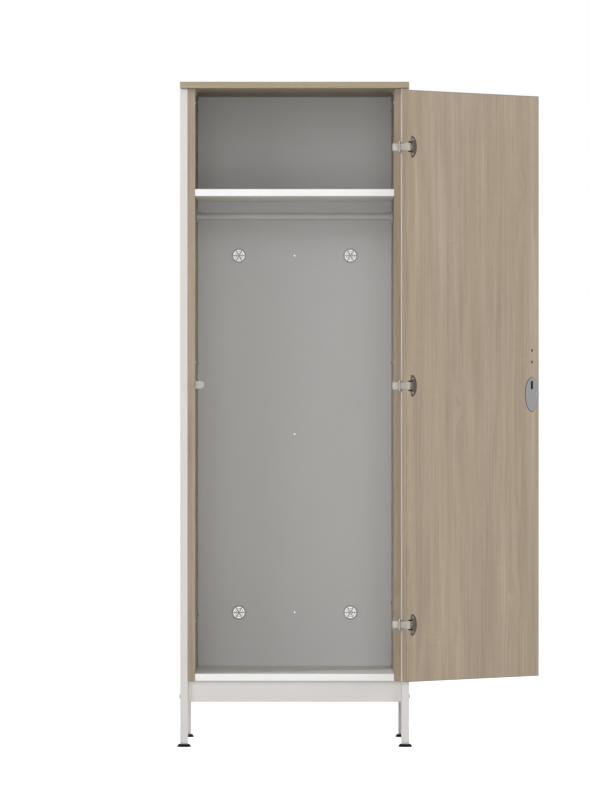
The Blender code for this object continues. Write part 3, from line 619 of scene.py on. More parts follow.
@dataclass
class Coat:
    """A Principled material whose colour, roughness and bump come from a group on Object coordinates."""

    material: Material
    graph: Graph
    shader: Node
    mapped: Socket
    colour: Socket

    @classmethod
    def make(cls, name: str, group: Tree, values: dict[str, Any], bump: float,
             shift: Sequence[float] = (0.0, 0.0, 0.0), turn: Sequence[float] = (0.0, 0.0, 0.0)) -> "Coat":
        """Makes a material.

        Args:
            name: The material's name.
            group: The group.
            values: The group's own values.
            bump: Height of the bump.
            shift: Shift of the coordinates.
            turn: Rotation of the coordinates.

        Returns:
            The coat.
        """
        material = bpy.data.materials.new(name)
        material.use_nodes = True
        graph = Graph(material.node_tree)
        shader = material.node_tree.nodes["Principled BSDF"]
        place = graph.node("TexCoord").outputs["Object"]
        moves = {"Vector": place, "Location": tuple(shift), "Rotation": tuple(turn)}
        mapped = graph.node("Mapping", moves).outputs[0]
        effect = graph.node("Group", {"Vector": mapped, **values}, node_tree=group)
        graph.link(effect.outputs["Roughness"], shader, "Roughness")
        relief = {"Height": effect.outputs["Height"], "Strength": BUMP_STRENGTH, "Distance": bump}
        graph.link(graph.node("Bump", relief).outputs[0], shader, "Normal")
        coat = cls(material, graph, shader, mapped, effect.outputs["Color"])
        coat.paint(coat.colour)
        return coat

    def paint(self, colour: Socket) -> None:
        """Feeds the shader's colour."""
        self.colour = colour
        self.graph.link(colour, self.shader, "Base Color")

    def set(self, label: str, value: float) -> None:
        """Sets one of the shader's own sockets."""
        self.shader.inputs[label].default_value = value


@dataclass(frozen=True)
class OakFinish:
    """Pale oak laminate with a matt, synchronised grain."""

    name: str
    grain: Grain = Grain.UPRIGHT
    light: Colour = (175, 158, 140)
    dark: Colour = (143, 126, 107)
    tint: Colour = (172, 158, 134)
    pore: Colour = (118, 99, 80)
    # The darker colour and width of the painted shade along a board's left, lower and upper edges.
    edge_shade: Colour = (128, 117, 104)
    edge_shade_width: float = 2.0 * MM
    relief: float = 0.15 * MM
    gloss: float = 0.35

    def coat(self, group: Tree, shift: Sequence[float], turn: Sequence[float]) -> Coat:
        """The grain on shifted and turned coordinates.

        Args:
            group: The grain's group.
            shift: Shift of the coordinates.
            turn: Rotation of the coordinates.

        Returns:
            The coat.
        """
        values = {"Light": linear(self.light), "Dark": linear(self.dark), "Tint": linear(self.tint),
                  "Pore": linear(self.pore)}
        coat = Coat.make(self.name, group, values, self.relief, shift, turn)
        coat.set("Specular IOR Level", self.gloss)
        return coat

    def make(self, group: Tree) -> Material:
        """The material for a fixed board."""
        return self.coat(group, (0.0, 0.0, 0.0), self.grain.value).material

    def make_edge_shaded(self, group: Tree, edge_shade: Tree, placement: Placement, node: str) -> Material:
        """The material for a board with painted shade along its edges, in the board's own coordinates.

        Args:
            group: The grain's group.
            edge_shade: The group of the painted shade along the edges.
            placement: The board's placement.
            node: The board's CAD node.

        Returns:
            The material.
        """
        shift = placement.unplace(np.zeros((1, 3)))[0]
        turn = (0.0, 0.0, -math.radians(placement.turn))
        coat = self.coat(group, shift, turn)
        box = placement.extent(node)
        values = {"Color": coat.colour, "Band": linear(self.edge_shade), "Left": box.low[0], "Bottom": box.low[2],
                  "Top": box.high[2], "Width": self.edge_shade_width}
        edges = coat.graph.node("Group", {"Vector": coat.mapped, **values}, node_tree=edge_shade)
        coat.paint(edges.outputs["Color"])
        return coat.material


@dataclass(frozen=True)
class SpeckleFinish:
    """A paint, plastic, laminate or plating with a fine even texture."""

    name: str
    colour: Colour
    shade: Colour
    grain: float
    rough: float
    spread: float
    relief: float
    metallic: float = 0.0
    gloss: float = 0.5

    def make(self, group: Tree) -> Material:
        """Makes the material.

        Args:
            group: The texture's group.

        Returns:
            The material.
        """
        values = {"Color": linear(self.colour), "Shade": linear(self.shade), "Grain": self.grain,
                  "Rough": self.rough, "Spread": self.spread}
        coat = Coat.make(self.name, group, values, self.relief)
        coat.set("Metallic", self.metallic)
        coat.set("Specular IOR Level", self.gloss)
        return coat.material


SPECKLED = (
    SpeckleFinish("painted_tube", (214, 210, 207), (210, 206, 203), 1600.0, 0.42, 0.20, 0.05 * MM),
    SpeckleFinish("white_laminate", (242, 242, 241), (239, 239, 238), 900.0, 0.45, 0.15, 0.04 * MM),
    # Painted light: paler than the tube's paint, for the strip over the hinge-side joint.
    SpeckleFinish("cream_edge", (236, 226, 219), (232, 222, 215), 900.0, 0.45, 0.15, 0.03 * MM),
    SpeckleFinish("back_laminate", (227, 228, 229), (224, 225, 226), 900.0, 0.55, 0.15, 0.04 * MM),
    SpeckleFinish("vent_plastic", (204, 204, 204), (198, 198, 198), 1200.0, 0.55, 0.10, 0.03 * MM),
    SpeckleFinish("grey_fitting", (136, 136, 138), (130, 130, 132), 1800.0, 0.42, 0.20, 0.04 * MM, 0.10),
    SpeckleFinish("rail_satin", (194, 194, 193), (187, 187, 186), 1800.0, 0.55, 0.15, 0.03 * MM, 0.05),
    SpeckleFinish("insert_plastic", (205, 202, 199), (197, 194, 191), 1200.0, 0.50, 0.15, 0.03 * MM),
    SpeckleFinish("foot_plastic", (21, 20, 19), (16, 15, 15), 1500.0, 0.60, 0.20, 0.05 * MM, 0.0, 0.12),
    SpeckleFinish("plated_steel", (180, 177, 168), (171, 168, 160), 1400.0, 0.45, 0.18, 0.02 * MM, 0.30),
    SpeckleFinish("dull_steel", (178, 175, 167), (170, 167, 159), 1400.0, 0.60, 0.15, 0.02 * MM, 0.10, 0.15),
    SpeckleFinish("bright_steel", (205, 203, 198), (192, 190, 185), 1400.0, 0.34, 0.22, 0.02 * MM, 0.85),
    SpeckleFinish("worn_steel", (140, 132, 118), (122, 114, 101), 1400.0, 0.45, 0.20, 0.02 * MM, 0.40),
    SpeckleFinish("dark_plated_steel", (72, 61, 48), (61, 52, 41), 1400.0, 0.45, 0.22, 0.03 * MM, 0.40),
    # Dark brown caps over the handle's screw holes: partly their colour, partly painted shade of the holes.
    SpeckleFinish("brown_plastic", (84, 66, 46), (70, 55, 38), 1400.0, 0.60, 0.20, 0.03 * MM, 0.0, 0.2),
)


@dataclass
class Palette:
    """All materials by name; those named as a slot of the record are the slot's own."""

    by_name: dict[str, Material] = field(default_factory=dict)

    def make(self, door: Placement) -> None:
        """Makes the groups and the materials.

        Args:
            door: The shut door's placement.
        """
        oak = oak_group()
        speckle = speckle_group()
        self.by_name["oak_laminate"] = OakFinish("oak_upright").make(oak)
        across = OakFinish("oak_across", Grain.ACROSS, (178, 163, 139), (150, 135, 114), (174, 163, 136))
        self.by_name["oak_across"] = across.make(oak)
        # The door's oak gets painted shade along its free, lower and upper edges.
        shaded_edge_oak = OakFinish("oak_door")
        self.by_name["oak_door"] = shaded_edge_oak.make_edge_shaded(oak, painted_edge_shade_group(), door, "door_panel")
        for finish in SPECKLED:
            self.by_name[finish.name] = finish.make(speckle)

    def dress_nodes(self, others: dict[str, str]) -> None:
        """Gives every CAD node its slot's material.

        Args:
            others: Materials of the nodes that differ from their slot's.
        """
        for row in frame["record"]["subparts"]:
            node = frame["nodes"][row["node"]]
            node.data.materials.clear()
            node.data.materials.append(self.by_name[others.get(row["node"], row["material_slot"])])


@dataclass
class Workshop:
    """Measures CAD nodes and makes the pieces: their mesh, place, material from a record slot or a finish, and
    body.

    The pieces of the door and the lock are worked out with the door shut, all others in the cabinet's frame.
    """

    palette: Palette
    cabinet: Placement
    door: Placement
    sharp_angle: float = 38.0

    def placement(self, body: str) -> Placement:
        """The placement that a body's pieces are worked out in."""
        return self.door if body in ("door", "lock") else self.cabinet

    def extent(self, node: str) -> Extent:
        """A CAD node's box in the frame of its body's placement."""
        bodies = frame["record"]["behaviour"]["bodies"]
        return self.placement(next(body for body, nodes in bodies.items() if node in nodes)).extent(node)

    def add(self, name: str, surface: Surface, body: str, slot: str, replaces: Sequence[str] = (),
            finish: str = "") -> None:
        """Adds a piece to the scene.

        Args:
            name: The piece's name.
            surface: Its shells in the frame of its body's placement.
            body: The CAD body that it rides on.
            slot: The record's material slot.
            replaces: CAD nodes that it stands for.
            finish: Its material, where it differs from the slot's.
        """
        mesh = bpy.data.meshes.new(name)
        mesh.from_pydata(self.placement(body).place(surface.points).tolist(), [], surface.faces)
        mesh.shade_smooth()
        mesh.set_sharp_from_angle(angle=math.radians(self.sharp_angle))
        mesh.materials.append(self.palette.by_name[finish or slot])
        piece = bpy.data.objects.new(name, mesh)
        bpy.context.scene.collection.objects.link(piece)
        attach(piece, body)
        if replaces:
            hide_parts(*replaces)
        LOG.info("%s: %d faces on %s", name, len(surface.faces), body)


@dataclass
class Dresser(ABC):
    """Adds the pieces of one kind of fitting."""

    shop: Workshop

    @abstractmethod
    def build(self) -> None:
        """Adds the pieces."""


def outward(side: int) -> Facing:
    """The facing away from the cabinet's middle."""
    return Facing.RIGHT if side > 0 else Facing.LEFT


def inward(side: int) -> Facing:
    """The facing towards the cabinet's middle."""
    return outward(-side)


@dataclass
class LevellingFeet(Dresser):
    """Round feet with a rolled sole and a fluted slope, on plain stems."""

    flutes: int = 18
    flute_depth: float = 0.4 * MM
    sole_inset: float = 2.0 * MM
    rim: float = 2.5 * MM
    top_inset: float = 4.0 * MM
    slope_power: float = 1.2
    stem: float = 4.0 * MM
    boss: float = 3.0 * MM
    ease: float = 0.8 * MM
    sides: int = 144

    def shape(self, radius: float, height: float, stem_top: float) -> Surface:
        """A foot about its own axis: r = slope(h) - d (1 + cos(n a)) / 2 on the slope, plain elsewhere.

        Args:
            radius: Largest radius.
            height: Height of the foot.
            stem_top: Height of the stem's end.

        Returns:
            The closed shell.
        """
        angles = np.linspace(0.0, 2.0 * np.pi, self.sides, endpoint=False)
        draw, climb = rounded_edge(1.0, 7)
        slope = np.linspace(0.0, 1.0, 10)[1:]
        climbing = self.rim + (height - self.rim) * slope ** self.slope_power
        stem = self.stem
        tail = ((radius - self.top_inset - self.ease, height), (stem + self.boss, height), (stem, height),
                (stem, stem_top - self.ease), (stem - self.ease, stem_top))
        sole = zip(radius - self.sole_inset * draw, self.rim * climb)
        radii, heights = np.array((*sole, *zip(radius - self.top_inset * slope, climbing), *tail)).T
        weight = np.concatenate((np.zeros(len(draw)), np.sin(np.pi * slope), np.zeros(len(tail))))
        flutes = self.flute_depth * (1.0 + np.cos(self.flutes * angles)) / 2
        return revolved(radii[:, None] - weight[:, None] * flutes[None], heights, self.sides)

    def build(self) -> None:
        """Replaces the four CAD feet."""
        for corner in CORNERS:
            node = "levelling_foot_" + corner
            box = self.shop.extent(node)
            height = self.shop.extent("tube_insert_" + corner).low[2] - SEAT_GAP
            shape = self.shape(box.half[0], height, box.high[2])
            centre = (box.middle[0], box.middle[1], box.low[2])
            self.shop.add("foot_" + corner, shape.shifted(centre), "foot_" + corner, "foot_plastic", (node,))


@dataclass
class Bolts(Dresser):
    """Domed bolts with six-sided sockets: on the uprights' outer sides and the side panels' inner faces."""

    frame_shank: float = 3.0 * MM
    panel_shank: float = 2.5 * MM
    rear_inset: float = 14.5 * MM
    socket_share: float = 0.42
    point_share: float = 0.3
    overlap_share: float = 0.2
    sides: int = 24

    def bolt(self, radius: float, rise: float, shank: float, reach: float) -> Surface:
        """A bolt whose seat lies at local Z = 0.

        Args:
            radius: Head radius.
            rise: Head height.
            shank: Shank radius.
            reach: Length of the shank.

        Returns:
            The closed shells.
        """
        head = socket_head(radius, rise, radius * self.socket_share)
        point = shank * self.point_share
        profile = ((shank - point, -reach), (shank, -reach + point), (shank, rise * self.overlap_share))
        return merged((head, turned(profile, self.sides)))

    def build_frame_bolts(self) -> None:
        """Replaces the bolts between the uprights and the aprons."""
        for corner in CORNERS:
            node = "frame_bolt_" + corner
            side = SIDES[corner.split("_")[1]]
            box = self.shop.extent(node)
            seat = self.shop.extent("upright_" + corner).end(0, side) + side * SEAT_GAP
            rise = abs(box.end(0, side) - seat)
            shape = self.bolt(box.half[2], rise, self.frame_shank, 2 * box.half[0] - rise)
            shape = shape.posed(outward(side), (seat, box.middle[1], box.middle[2]))
            self.shop.add(node + "_dressed", shape, "cabinet", "painted_tube", (node,))

    def build_panel_bolts(self) -> None:
        """Replaces the bolts on the side panels' inner faces, and adds the caps of those at the back."""
        back = self.shop.extent("back_panel").low[1] - self.rear_inset
        for name, side in SIDES.items():
            wall = self.shop.extent("side_panel_" + name).end(0, -side)
            seat = wall - side * SEAT_GAP
            for level in LEVELS:
                node = f"panel_bolt_{name}_{level}"
                box = self.shop.extent(node)
                rise = abs(box.end(0, -side) - seat)
                shape = self.bolt(box.half[2], rise, self.panel_shank, 2 * box.half[0] - rise)
                shape = shape.posed(inward(side), (seat, box.middle[1], box.middle[2]))
                self.shop.add(node + "_dressed", shape, "cabinet", "plated_steel", (node,))
                cap = socket_head(box.half[2], rise, box.half[2] * self.socket_share)
                cap = cap.posed(inward(side), (wall, back, box.middle[2]))
                self.shop.add(f"rear_cap_{name}_{level}", cap, "cabinet", "plated_steel")

    def build(self) -> None:
        """Replaces all bolts."""
        self.build_frame_bolts()
        self.build_panel_bolts()


@dataclass
class HangingRail(Dresser):
    """The round rail and its end sockets, with the sockets' screws."""

    wall: float = 1.5 * MM
    bevel: float = 0.3 * MM
    bore_gap: float = 0.3 * MM
    socket_wall: float = 2.2 * MM
    socket_ease: float = 0.6 * MM
    fillet: float = 1.0 * MM
    flange_fall: float = 0.1 * MM
    flange_sheet: float = 2.5 * MM
    screw_radius: float = 1.9 * MM
    sides: int = 72

    def socket(self, flange: float, depth: float, rail: float) -> Surface:
        """A socket from local Z = 0: a flange with an eased rim, and a ring round the rail's end.

        Args:
            flange: Radius of the flange.
            depth: Depth over all.
            rail: Radius of the rail.

        Returns:
            The closed shells.
        """
        bore = rail + self.bore_gap
        ring = bore + self.socket_wall
        sheet = self.flange_sheet
        ease = self.socket_ease
        rim = sheet - self.flange_fall
        fillet = self.fillet
        profile = ((bore * END_SHARE, 0.0), (flange - ease, 0.0), (flange, ease), (flange, rim - fillet),
                   (flange - ease, rim), (ring + fillet, sheet), (ring, rim + fillet), (ring, depth - ease),
                   (ring - ease, depth), (bore + ease, depth), (bore, depth - ease), (bore, sheet),
                   (bore * END_SHARE, sheet))
        head = screw_head(self.screw_radius, SCREW_RISE).shifted(((flange + ring) / 2, 0.0, rim))
        return merged((turned(profile, self.sides), head, head.spun(180.0)))

    def build(self) -> None:
        """Replaces the rail and its sockets."""
        rail = self.shop.extent("hanging_rail")
        radius = rail.half[2]
        _, depth, level = rail.middle
        shape = tube_shell(radius, radius - self.wall, 2 * rail.half[0], self.bevel, self.sides)
        shape = shape.posed(Facing.RIGHT, (rail.low[0], depth, level))
        self.shop.add("rail_tube", shape, "cabinet", "plated_steel", ("hanging_rail",), "rail_satin")
        for name, side in SIDES.items():
            node = "rail_socket_" + name
            box = self.shop.extent(node)
            shape = self.socket(box.half[2], 2 * box.half[0], radius)
            shape = shape.posed(inward(side), (box.end(0, side), depth, level))
            self.shop.add(node + "_dressed", shape, "cabinet", "grey_fitting", (node,), "rail_satin")


@dataclass
class VentGrilles(Dresser):
    """Round grilles: an outer ring, two inner rings, a hub and six spokes, with a collar through the back."""

    ring_edges: tuple[tuple[float, float], ...] = ((6.0 * MM, 8.2 * MM), (10.6 * MM, 12.8 * MM))
    hub: float = 3.6 * MM
    hub_ease: float = 0.2 * MM
    hub_foot_share: float = 0.8
    rim_inner: float = 15.5 * MM
    collar_outer: float = 18.4 * MM
    collar_inner: float = 17.0 * MM
    sheet: float = 1.6 * MM
    spokes: int = 6
    spoke_width: float = 2.9 * MM
    spoke_corner: float = 0.4 * MM
    spoke_inset: float = 0.1 * MM
    spoke_start_share: float = 0.6
    spoke_overlap: float = 0.5 * MM
    bevel: float = 0.35 * MM
    sides: int = 96

    def shape(self, radius: float, depth: float) -> Surface:
        """A grille with its front at local Z = depth and the collar's end at 0.

        Args:
            radius: Radius of the outer ring.
            depth: Depth over all.

        Returns:
            The closed shells.
        """
        base = depth - self.sheet
        shells = [tube_shell(outer, inner, self.sheet, self.bevel, self.sides).shifted((0, 0, base))
                  for inner, outer in (*self.ring_edges, (self.rim_inner, radius))]
        collar_end = depth - self.bevel
        shells.append(tube_shell(self.collar_outer, self.collar_inner, collar_end, self.bevel, self.sides))
        draw, climb = rounded_edge(self.bevel, 5)
        hub = self.hub
        profile = ((hub * self.hub_foot_share, 0.0), (hub, self.hub_ease),
                   *zip(hub - climb, self.sheet - draw), (hub * END_SHARE, self.sheet))
        shells.append(turned(profile, self.sides // 2).shifted((0, 0, base)))
        start = hub * self.spoke_start_share
        length = self.rim_inner + self.spoke_overlap - start
        outline = rounded_rectangle(length, self.spoke_width, self.spoke_corner)
        bar = plate(outline, self.sheet - 2 * self.spoke_inset, self.bevel)
        bar = bar.shifted((start + length / 2, 0.0, base + self.spoke_inset))
        shells.extend(bar.spun(360.0 * number / self.spokes) for number in range(self.spokes))
        return merged(shells)

    def build(self) -> None:
        """Replaces the four CAD vents."""
        for level in ("lower", "upper"):
            for side in SIDES:
                node = f"vent_{level}_{side}"
                box = self.shop.extent(node)
                shape = self.shape(box.half[0], 2 * box.half[1])
                shape = shape.posed(Facing.FRONT, (box.middle[0], box.high[1], box.middle[2]))
                self.shop.add(node + "_dressed", shape, "cabinet", "vent_plastic", (node,))


@dataclass
class Hinges(Dresser):
    """Hinges with exposed knuckles: a leaf on the side panel, a strap and a flange on the door, and a pin."""

    sheet: float = 1.8 * MM
    bevel: float = 0.3 * MM
    step: float = 0.08 * MM
    sides: int = 40
    plate_sheet: float = 1.2 * MM
    plate_bevel: float = 0.5 * MM
    channel_rise: float = 4.3 * MM
    channel_sunk: float = 0.4 * MM
    channel_depth: float = 38.0 * MM
    channel_bevel: float = 0.9 * MM
    arm_half: float = 10.0 * MM
    barrel_half: float = 14.2 * MM
    eye_half: float = 8.6 * MM
    knuckle: float = 2.75 * MM
    knuckle_ease: float = 0.2 * MM
    bore: float = 1.7 * MM
    pin: float = 1.4 * MM
    pin_head: float = 1.2 * MM
    pin_ease: float = 0.5 * MM
    pin_tip: float = 0.84 * MM
    dome: float = 0.9 * MM
    dome_turn: float = 81.0
    strap_half: float = 10.5 * MM
    strap_reach: float = 9.5 * MM
    strap_gap: float = 0.2 * MM
    strap_lap: float = 1.0 * MM
    flange_start: float = 12.5 * MM
    flange_width: float = 26.5 * MM
    flange_half: float = 29.3 * MM
    flange_corner: float = 7.0 * MM
    mouth_half: float = 14.6 * MM
    mouth_reach: float = 9.2 * MM
    tray_depth: float = 3.9 * MM
    tray_sheet: float = 1.5 * MM
    tray_margin: float = 0.4 * MM
    tray_bevel: float = 0.4 * MM
    screw_radius: float = 2.6 * MM
    channel_screw_radius: float = 3.38 * MM
    plate_screw_share: float = 0.6
    channel_screw_share: float = 0.66
    flange_screw_inset: float = 11.5 * MM
    flange_screw_spread: float = 20.0 * MM
    adjuster_radius: float = 2.2 * MM
    adjuster_rise: float = 0.8 * MM
    adjuster_socket: float = 0.9 * MM
    adjuster_inset: float = 4.0 * MM

    def knuckle_ring(self, low: float, high: float, pivot: tuple[float, float]) -> Surface:
        """One knuckle of the barrel, between two heights."""
        ring = tube_shell(self.knuckle, self.bore, high - low, self.knuckle_ease, self.sides)
        return ring.shifted((*pivot, low))

    def frame_leaf(self, box: Extent, face: float, pivot: tuple[float, float]) -> Surface:
        """The leaf on the side panel: a plate, a channel over it, an arm to the front and two knuckles.

        Args:
            box: The CAD leaf's box.
            face: X of the leaf's side against the panel.
            pivot: The hinge line's X and Y.

        Returns:
            The closed shells, with the leaf's screws.
        """
        level = box.middle[2]
        back = -SEAT_GAP
        front = back - self.sheet
        outer = pivot[0] + self.knuckle
        inner = outer - self.sheet
        low = level - self.arm_half
        high = level + self.arm_half
        step = self.step
        top = face - self.channel_rise
        sheet_top = face - self.plate_sheet
        shells = [
            block((sheet_top, 0.0, box.low[2]), (face, box.high[1], box.high[2]), Facing.LEFT,
                  self.plate_bevel),
            block((top, front + step, low + step),
                  (face - self.channel_sunk, self.channel_depth, high - step), Facing.LEFT,
                  self.channel_bevel),
            block((top - step, front, low), (outer - step, back, high), Facing.FRONT, self.bevel),
            block((inner, front - step, level - self.barrel_half),
                  (outer, back - step, level + self.barrel_half), Facing.FRONT, self.bevel)]
        for side in (-1, 1):
            ends = sorted((level + side * (self.eye_half + SEAT_GAP), level + side * self.barrel_half))
            shells.append(block((inner + step, pivot[1] + self.bore, ends[0] + step),
                                (outer - step, back - 2 * step, ends[1] - step), Facing.RIGHT, self.bevel))
            shells.append(self.knuckle_ring(*ends, pivot))
            height = level + side * (self.arm_half + box.half[2]) / 2
            spot = (sheet_top, box.high[1] * self.plate_screw_share, height)
            shells.append(screw_head(self.screw_radius, SCREW_RISE).posed(Facing.LEFT, spot))
        spot = (top, self.channel_depth * self.channel_screw_share, level)
        shells.append(screw_head(self.channel_screw_radius, SCREW_RISE).posed(Facing.LEFT, spot))
        return merged(shells)

    def pin_shape(self, box: Extent) -> Surface:
        """The pin with its domed head, about the hinge line.

        Args:
            box: The CAD pin's box.

        Returns:
            The closed shell.
        """
        head = box.half[0]
        crown = np.linspace(0.0, math.radians(self.dome_turn), 6)
        seat = box.high[2] - self.pin_head
        profile = ((self.pin_tip, box.low[2]), (self.pin, box.low[2] + self.pin_ease), (self.pin, seat),
                   (head, seat), *zip(head * np.cos(crown), box.high[2] - self.dome * (1 - np.sin(crown))))
        return turned(profile, self.sides)

    def strap(self, edge: float, inside: float, level: float, pivot: tuple[float, float]) -> Surface:
        """The light strap from the flange round the door's edge to the middle knuckle.

        Args:
            edge: X of the door's hinge edge.
            inside: Y of the leaf's outer side, in the door's inner face.
            level: Height of the hinge's middle.
            pivot: The hinge line's X and Y.

        Returns:
            The closed shells.
        """
        start = edge - self.flange_start + self.strap_gap
        near = edge + SEAT_GAP
        far = near + self.sheet
        low = level - self.strap_half
        high = level + self.strap_half
        eye_low = level - self.eye_half
        eye_high = level + self.eye_half
        step = self.step
        return merged((
            block((start, inside - self.sheet, low), (far - step, inside, high), Facing.BACK, self.bevel),
            block((near, inside - self.strap_reach, low + step), (far, inside - step, high - step),
                  Facing.RIGHT, self.bevel),
            block((near + step, pivot[1] + self.bore, eye_low + step),
                  (far - step, inside - self.strap_lap, eye_high - step), Facing.RIGHT, self.bevel),
            self.knuckle_ring(eye_low, eye_high, pivot)))

    def flange_outline(self) -> Array:
        """A D with rounded corners and two notches beside the strap, its straight side on the second axis.

        The corners are quarter circles, and the bow is half an ellipse between them. The lower half mirrors
        the upper.

        Returns:
            The outline, anticlockwise.
        """
        notch = np.array(((0.0, self.strap_half), (-self.mouth_reach, self.strap_half),
                          (-self.mouth_reach, self.mouth_half), (0.0, self.mouth_half)))
        turn = np.linspace(0.0, np.pi / 2, 7)
        corner = self.flange_corner
        centre = (-corner, self.flange_half - corner)
        arc = corner * np.stack((np.cos(turn), np.sin(turn)), axis=-1) + centre
        sweep = np.linspace(np.pi / 2, np.pi, 22)[1:]
        across = (self.flange_width - corner) * np.cos(sweep) - corner
        bow = np.stack((across, self.flange_half * np.sin(sweep)), axis=-1)
        upper = np.concatenate((notch, arc, bow))
        return np.concatenate((upper, upper[-2::-1] * (1.0, -1.0)))

    def flange(self, start: float, inside: float, level: float) -> Surface:
        """The dark flange in the door's inner face, from its straight side's X."""
        mirrored = self.flange_outline()[::-1] * (-1.0, 1.0)
        return plate(mirrored, self.sheet, self.bevel).posed(Facing.BACK, (start, inside - self.sheet, level))

    def tray(self, start: float, inside: float, level: float) -> Surface:
        """The floor of the recess under the flange, seen through its notches. It is made black: painted shade that
        darkens the notches, on a real floor of the hinge's cup.

        Args:
            start: X of the flange's straight side.
            inside: Y of the leaf's outer side.
            level: Height of the hinge's middle.

        Returns:
            The closed shell.
        """
        reach = self.mouth_reach - self.tray_margin
        half = self.mouth_half - self.tray_margin
        floor = inside - self.tray_depth
        return block((start - reach, floor, level - half),
                     (start + reach, floor + self.tray_sheet, level + half), Facing.BACK, self.tray_bevel)

    def build(self) -> None:
        """Replaces the hinges' leaves and pins, and adds their screws."""
        panel = self.shop.extent("door_panel")
        face = self.shop.extent("side_panel_right").low[0] - SEAT_GAP
        pivot = self.shop.cabinet.pivot
        edge = panel.high[0]
        start = edge - self.flange_start
        inside = panel.high[1] - SEAT_GAP
        for name in LEVELS:
            node = "hinge_frame_leaf_" + name
            box = self.shop.extent(node)
            level = box.middle[2]
            leaf = self.frame_leaf(box, face, pivot)
            self.shop.add(node + "_dressed", leaf, "cabinet", "plated_steel", (node,))
            node = "hinge_pin_" + name
            pin = self.pin_shape(self.shop.extent(node)).shifted((*pivot, 0.0))
            self.shop.add(node + "_dressed", pin, "cabinet", "plated_steel", (node,))
            strap = self.strap(edge, inside, level, pivot)
            self.shop.add("hinge_strap_" + name, strap, "door", "plated_steel", finish="dull_steel")
            flange = self.flange(start, inside, level)
            node = "hinge_door_leaf_" + name
            self.shop.add("hinge_flange_" + name, flange, "door", "dark_plated_steel", (node,))
            # The tray's black plastic is painted shade in the flange's notches.
            self.shop.add("hinge_tray_" + name, self.tray(start, inside, level), "door", "foot_plastic")
            spots = [(start - self.flange_screw_inset, inside, level + side * self.flange_screw_spread)
                     for side in (-1, 1)]
            heads = screws(self.screw_radius, LOW_SCREW_RISE, Facing.BACK, spots)
            self.shop.add("hinge_flange_screws_" + name, heads, "door", "dark_plated_steel",
                          finish="worn_steel")
            adjuster = socket_head(self.adjuster_radius, self.adjuster_rise, self.adjuster_socket)
            adjuster = adjuster.posed(Facing.BACK, (start - self.adjuster_inset, inside, level))
            self.shop.add("hinge_adjuster_" + name, adjuster, "door", "plated_steel", finish="worn_steel")


